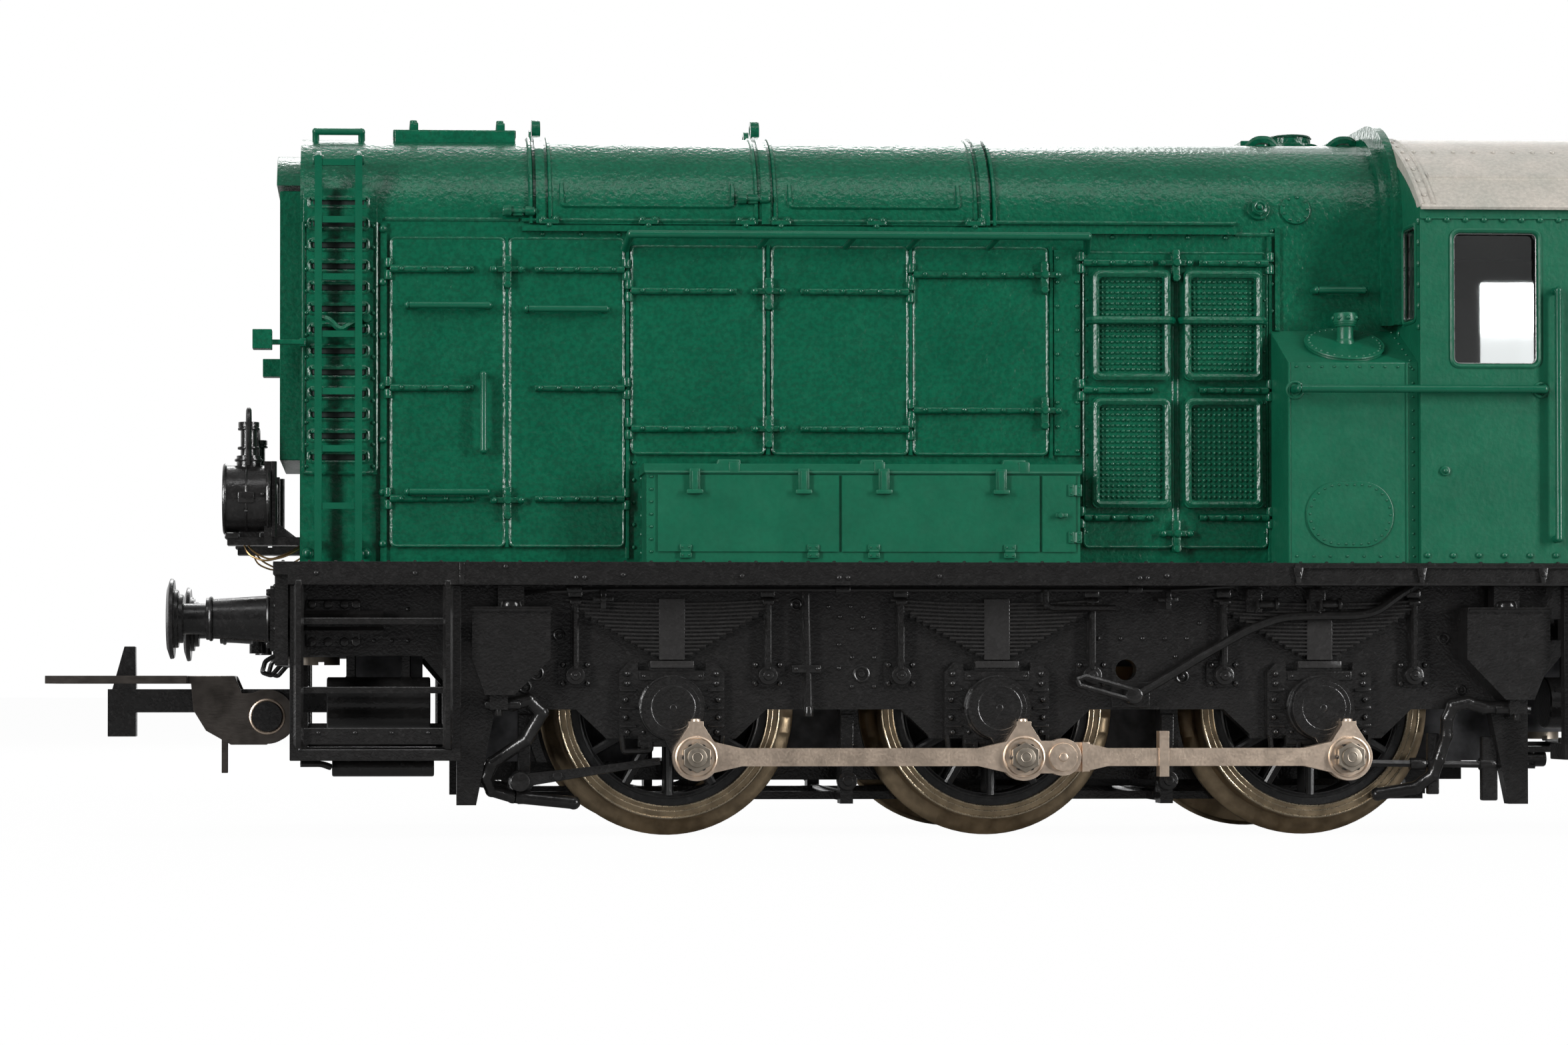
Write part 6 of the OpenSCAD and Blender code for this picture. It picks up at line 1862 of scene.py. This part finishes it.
@dataclass
class RunningGear(SubAssembly):
    """Wheels, tyres, axles, cranks and coupling rods."""

    axles: tuple[float, ...] = AXLES
    axle_z: float = AXLE_Z
    throw: float = 3.3
    angles: Flat = (-66.0, 24.0)
    crank_face: float = 13.15
    rod_in: float = 13.2
    rod_out: float = 14.0
    knuckle: float = 2.4
    wheel_face: float = 9.95
    tyre_in: float = 6.1
    spokes: int = 12
    spoke_span: Flat = (1.6, 5.45)

    def build(self) -> None:
        """Builds the running gear's pieces."""
        for place, x in zip(("front", "middle", "rear"), self.axles):
            body = f"wheelset_{place}"
            self.dress(f"axle_{place}", STEEL, Slot.AXLE, 0.0, body)
            self.dress(f"wheels_{place}", WHEEL_BLACK, Slot.WHEEL, 0.06, body)
            self.dress(f"tyres_{place}", TYRE, Slot.TYRE, 0.04, body)
            self.dress(f"cranks_{place}", FRAME_BLACK, Slot.CRANK, 0.05, body)
            self.crank_trim(place, x, body)
            self.wheel_trim(place, x, body)
        for node, body in (("rod_front_left", "rod_fl"), ("rod_front_right", "rod_fr"),
                           ("rod_rear_left", "rod_rl"), ("rod_rear_right", "rod_rr")):
            self.dress(node, NICKEL, Slot.ROD, 0.06, body, 2)
            self.rod_trim(node, body)

    def pin(self, x: float, side: int) -> Flat:
        """Gives the place of a crank pin.

        Args:
            x: The axle's place.
            side: -1 for the left, 1 for the right.

        Returns:
            Its X and Z.
        """
        angle = math.radians(self.angles[0 if side < 0 else 1])
        return x + self.throw * math.cos(angle), self.axle_z + self.throw * math.sin(angle)

    def crank_trim(self, place: str, x: float, body: str) -> None:
        """Makes one axle's crank caps and pin nuts.

        Args:
            place: The axle's name.
            x: The axle's place.
            body: The body it rides on.
        """
        caps, nuts = [], []
        for side in (-1, 1):
            px, pz = self.pin(x, side)
            caps.append(bar(x, (side * (self.crank_face - 0.3), side * (self.crank_face + 0.02)), self.axle_z,
                             1.75, 1.68, 40, 0.05))
            caps.append(ring((x, side * (self.crank_face - 0.02), self.axle_z), ACROSS, 1.35, 0.055, 36))
            caps.append(bar(
                x,
                (side * (self.crank_face - 0.2), side * (self.crank_face + 0.035)),
                self.axle_z, 0.3, 0.22, 16, 0.05,
            ))
            out = self.rod_out + 0.04
            nuts.append(bar(px, (side * out, side * (out + 0.62)), pz, 0.98, 0.96, 6, 0.08))
            nuts.append(bar(px, (side * (out + 0.5), side * (out + 0.74)), pz, 0.62, 0.6, 28, 0.05))
            nuts.append(ring((px, side * (out + 0.74), pz), ACROSS, 0.3, 0.035, 20))
        self.fit(f"crank_caps_{place}", caps, FRAME_BLACK, Slot.CRANK, sides=False, body=body)
        self.fit(f"pin_nuts_{place}", nuts, NUT, Slot.SCREW, sides=False, body=body)

    def wheel_trim(self, place: str, x: float, body: str) -> None:
        """Makes one axle's rounded spokes and rim rings, whose tyre edge rings are brightened as painted
        highlight.

        Args:
            place: The axle's name.
            x: The axle's place.
            body: The body it rides on.
        """
        items, edges = [], []
        for side in (-1, 1):
            y = side * 9.7
            a, b = self.spoke_span
            for i in range(self.spokes):
                angle = math.radians(360 // self.spokes * i)
                items.append(drum(
                    (x + a * math.sin(angle), y, self.axle_z + a * math.cos(angle)),
                    (x + b * math.sin(angle), y, self.axle_z + b * math.cos(angle)),
                    0.36, 0.28, 10,
                ))
            # Painted highlight: the tyre's edge rings take a brighter metal than the tyre, standing in for
            # light caught on its edges.
            edges += [ring((x, side * self.wheel_face, self.axle_z), ACROSS, r, w, 72)
                      for r, w in ((6.84, 0.07), (self.tyre_in + 0.06, 0.06))]
            edges.append(ring((x, side * (self.wheel_face - 0.02), self.axle_z), ACROSS, 6.45, 0.05, 72))
            items.append(ring((x, side * 9.75, self.axle_z), ACROSS, 5.55, 0.14, 56))
            items.append(ring((x, side * 9.9, self.axle_z), ACROSS, 1.75, 0.12, 36))
        self.fit(f"spokes_{place}", items, WHEEL_BLACK, Slot.WHEEL, sides=False, body=body)
        self.fit(f"tyre_edges_{place}", edges, TYRE_EDGE_HIGHLIGHT, Slot.TYRE, sides=False, body=body)

    def rod_trim(self, node: str, body: str) -> None:
        """Makes one coupling rod's raised eye faces, oil cups and knuckle rings.

        Args:
            node: The rod's CAD node.
            body: The body it rides on.
        """
        side = -1 if node.endswith("left") else 1
        ends = (0, 1) if "front" in node else (2,)
        items = []
        for i in ends:
            px, pz = self.pin(self.axles[i], side)
            items.append(ring((px, side * (self.rod_out - 0.02), pz), ACROSS, 1.22, 0.09, 36))
            items.append(bar(px, side * (self.rod_in + 0.4), (pz + 1.95, pz + 2.36), 0.34, 0.28, 16, 0.05))
        if "rear" in node:
            kx, kz = self.pin(0.0, side)[0] + self.knuckle, self.pin(0.0, side)[1]
            items += [ring((kx, side * (self.rod_out + 0.04), kz), ACROSS, r, 0.06, 28) for r in (0.82, 0.5)]
            items.append(bar(
                kx, (side * (self.rod_out - 0.1), side * (self.rod_out + 0.32)), kz, 0.3, 0.26, 16, 0.04
            ))
        self.fit(f"{node}_trim", items, NICKEL, Slot.ROD, sides=False, body=body)


@dataclass
class EndGear(SubAssembly):
    """Buffers and couplers."""

    buffer_y: float = 10.0
    buffer_z: float = 13.5
    cheek: float = 2.9

    def build(self) -> None:
        """Builds the buffers and couplers."""
        for end, letter in (("front", "f"), ("rear", "r")):
            for side, mark in (("left", "l"), ("right", "r")):
                self.dress(f"buffer_{end}_{side}", GLOSS_BLACK, Slot.BLACK, 0.04, f"buffer_{letter}{mark}")
            self.dress(f"coupler_arm_{end}", GLOSS_BLACK, Slot.HOOK, 0.08, f"coupler_{end}")
            self.dress(f"coupler_loop_{end}", COUPLING, Slot.COUPLER, 0.06, f"loop_{end}")
            sign = -1 if end == "front" else 1
            items = [ring((sign * 45.3, side * self.cheek, 7.4), ACROSS, 1.06, 0.1, 40) for side in (-1, 1)]
            self.fit(f"loop_rivets_{end}", items, NICKEL, Slot.COUPLER, sides=False, body=f"loop_{end}")
        items = [
            ring((-x, -self.buffer_y, self.buffer_z), BACKWARD, r, w, 32)
            for x, r, w in ((48.55, 1.25, 0.14), (45.0, 1.42, 0.12))
        ]
        self.fit("sleeve_rings", items, GLOSS_BLACK, Slot.BLACK, ends=True)


@dataclass
class Drive(SubAssembly):
    """The sealed drive and electrics."""

    def build(self) -> None:
        """Dresses the parts inside the body."""
        for node, finish in (
            ("motor_case", STEEL),
            ("circuit_board", BOARD),
            ("pickup_strips", BRONZE),
            ("idler_pin", STEEL),
            ("motor_rotor", COPPER),
            ("flywheel", BRASS),
            ("worm", BRASS),
            ("idler_gear", NYLON),
        ):
            paint_node(node, finish)


# ---------------------------------------------------------------- studio


@dataclass
class Studio:
    """Floor, lamps, world and camera."""

    lens: float = 83.1
    eye: Point = (-38.28, -234.5, 9.28)
    shift: Flat = (0.16, 0.07)
    target: Flat = (566.0, 1031.0)
    sky: float = 0.36

    def build(self) -> None:
        """Builds the studio."""
        self.floor()
        self.world()
        self.lamps()
        self.camera()

    def floor(self) -> None:
        """Lays a wide pale floor that the camera sees as white with a soft shadow."""
        clear_selection()
        bpy.ops.mesh.primitive_plane_add(size=6.0, location=(0, 0, 0))
        floor = bpy.context.object
        floor.name = "floor"
        sheet = NodeSheet("floor_white")
        tone = sheet.ramp(sheet.noise(sheet.place(), 0.02, 2.0),
                          [(0.3, (0.3, 0.3, 0.3, 1.0)), (0.7, (0.32, 0.32, 0.32, 1.0))])
        matt = sheet.node("ShaderNodeBsdfDiffuse")
        sheet.join(tone, matt.inputs["Color"])
        glow = sheet.node("ShaderNodeEmission")
        glow.inputs["Strength"].default_value = 1.06
        path = sheet.node("ShaderNodeLightPath")
        share = sheet.node("ShaderNodeMapRange")
        share.inputs["To Max"].default_value = 0.92
        sheet.join(path.outputs["Is Camera Ray"], share.inputs["Value"])
        mix = sheet.node("ShaderNodeMixShader")
        sheet.join(share.outputs["Result"], mix.inputs["Fac"])
        sheet.join(matt.outputs["BSDF"], mix.inputs[1])
        sheet.join(glow.outputs["Emission"], mix.inputs[2])
        sheet.join(mix.outputs["Shader"], sheet.output.inputs["Surface"])
        floor.data.materials.append(sheet.material)

    def world(self) -> None:
        """Makes soft light that is stronger from above.

        The camera sees plain white, and so do panes and what is mirrored from behind the model.
        """
        world = bpy.data.worlds.new("studio")
        bpy.context.scene.world = world
        sheet = NodeTree(world, "ShaderNodeOutputWorld")
        path = sheet.node("ShaderNodeLightPath")
        where = sheet.node("ShaderNodeNewGeometry")
        split = sheet.node("ShaderNodeSeparateXYZ")
        sheet.join(where.outputs["Position"], split.inputs["Vector"])
        level = sheet.node("ShaderNodeValToRGB")
        elements = level.color_ramp.elements
        elements.new(0.5)
        for element, (place, tone) in zip(elements, ((0.05, 0.1), (0.45, 0.3), (0.9, 0.75))):
            element.position = place
            element.color = (tone * 0.98, tone * 0.99, tone, 1.0)
        sheet.join(split.outputs["Z"], level.inputs["Fac"])
        light = sheet.node("ShaderNodeBackground")
        light.inputs["Strength"].default_value = self.sky
        sheet.join(level.outputs["Color"], light.inputs["Color"])
        seen = sheet.node("ShaderNodeBackground")
        seen.inputs["Color"].default_value = WHITE
        seen.inputs["Strength"].default_value = 1.0
        behind = sheet.node("ShaderNodeMapRange")
        behind.inputs["From Min"].default_value = 0.05
        behind.inputs["From Max"].default_value = 0.5
        sheet.join(split.outputs["Y"], behind.inputs["Value"])
        mirrored_ray = sheet.calculate("MULTIPLY", path.outputs["Is Glossy Ray"], behind.outputs["Result"])
        straight = sheet.calculate(
            "MAXIMUM", path.outputs["Is Camera Ray"], path.outputs["Is Transmission Ray"]
        )
        mix = sheet.node("ShaderNodeMixShader")
        sheet.join(sheet.calculate("MAXIMUM", straight, mirrored_ray), mix.inputs["Fac"])
        sheet.join(light.outputs["Background"], mix.inputs[1])
        sheet.join(seen.outputs["Background"], mix.inputs[2])
        sheet.join(mix.outputs["Shader"], sheet.output.inputs["Surface"])

    def lamp(self, name: str, place: Point, aim_at: Point, size: Flat, power: float) -> None:
        """Hangs one soft lamp.

        Args:
            name: The lamp's name.
            place: Where it hangs, in millimetres.
            aim_at: The point that it faces.
            size: Its width and height, in millimetres.
            power: Its power in watts.
        """
        data = bpy.data.lights.new(name, "AREA")
        data.shape = "RECTANGLE"
        data.size, data.size_y = size[0] * MM, size[1] * MM
        data.energy = power
        item = bpy.data.objects.new(name, data)
        bpy.context.scene.collection.objects.link(item)
        spot, goal = Vector(place) * MM, Vector(aim_at) * MM
        item.matrix_world = Matrix.Translation(spot) @ aim(spot - goal)

    def lamps(self) -> None:
        """Hangs a lamp above the back, a strip over the top, one at each side and one behind."""
        self.lamp("top_lamp", (0, 250, 260), (0, 0, 25), (150, 90), 0.42)
        self.lamp("strip_lamp", (0, -190, 300), (0, 0, 20), (420, 26), 0.2)
        self.lamp("left_lamp", (-280, -230, 105), (0, 0, 20), (50, 240), 1.0)
        self.lamp("right_lamp", (280, -230, 105), (0, 0, 20), (50, 240), 1.0)
        self.lamp("back_lamp", (60, 300, 120), (0, 0, 20), (200, 120), 0.3)

    def camera(self) -> None:
        """Sets up the camera where the photograph was taken from."""
        wide, high = PHOTO_WIDTH, PHOTO_HEIGHT
        focal = self.lens / SENSOR_WIDTH * wide
        right = (self.target[0] - wide / 2) + self.shift[0] * wide
        down = (self.target[1] - high / 2) - self.shift[1] * wide
        yaw, pitch = math.atan(-right / focal), math.atan(down / focal)
        data = bpy.data.cameras.new("camera")
        data.lens = self.lens
        data.sensor_width = SENSOR_WIDTH
        data.shift_x, data.shift_y = self.shift
        data.clip_start, data.clip_end = 0.01, 20.0
        item = bpy.data.objects.new("camera", data)
        bpy.context.scene.collection.objects.link(item)
        item.location = Vector(self.eye) * MM
        item.rotation_euler = (math.pi / 2 + pitch, 0.0, -yaw)
        bpy.context.scene.camera = item


def main() -> None:
    """Builds everything in order."""
    logging.basicConfig(level=logging.INFO, format="%(message)s")
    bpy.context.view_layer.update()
    bpy.context.scene.view_settings.view_transform = "Standard"
    Studio().build()
    for group in (Bonnet(), SideBoxes(), Cab(), Underframe(), RunningGear(), EndGear(), Drive()):
        LOG.info("building %s", type(group).__name__)
        group.build()
    clear_selection()


if __name__ == "__main__":
    main()
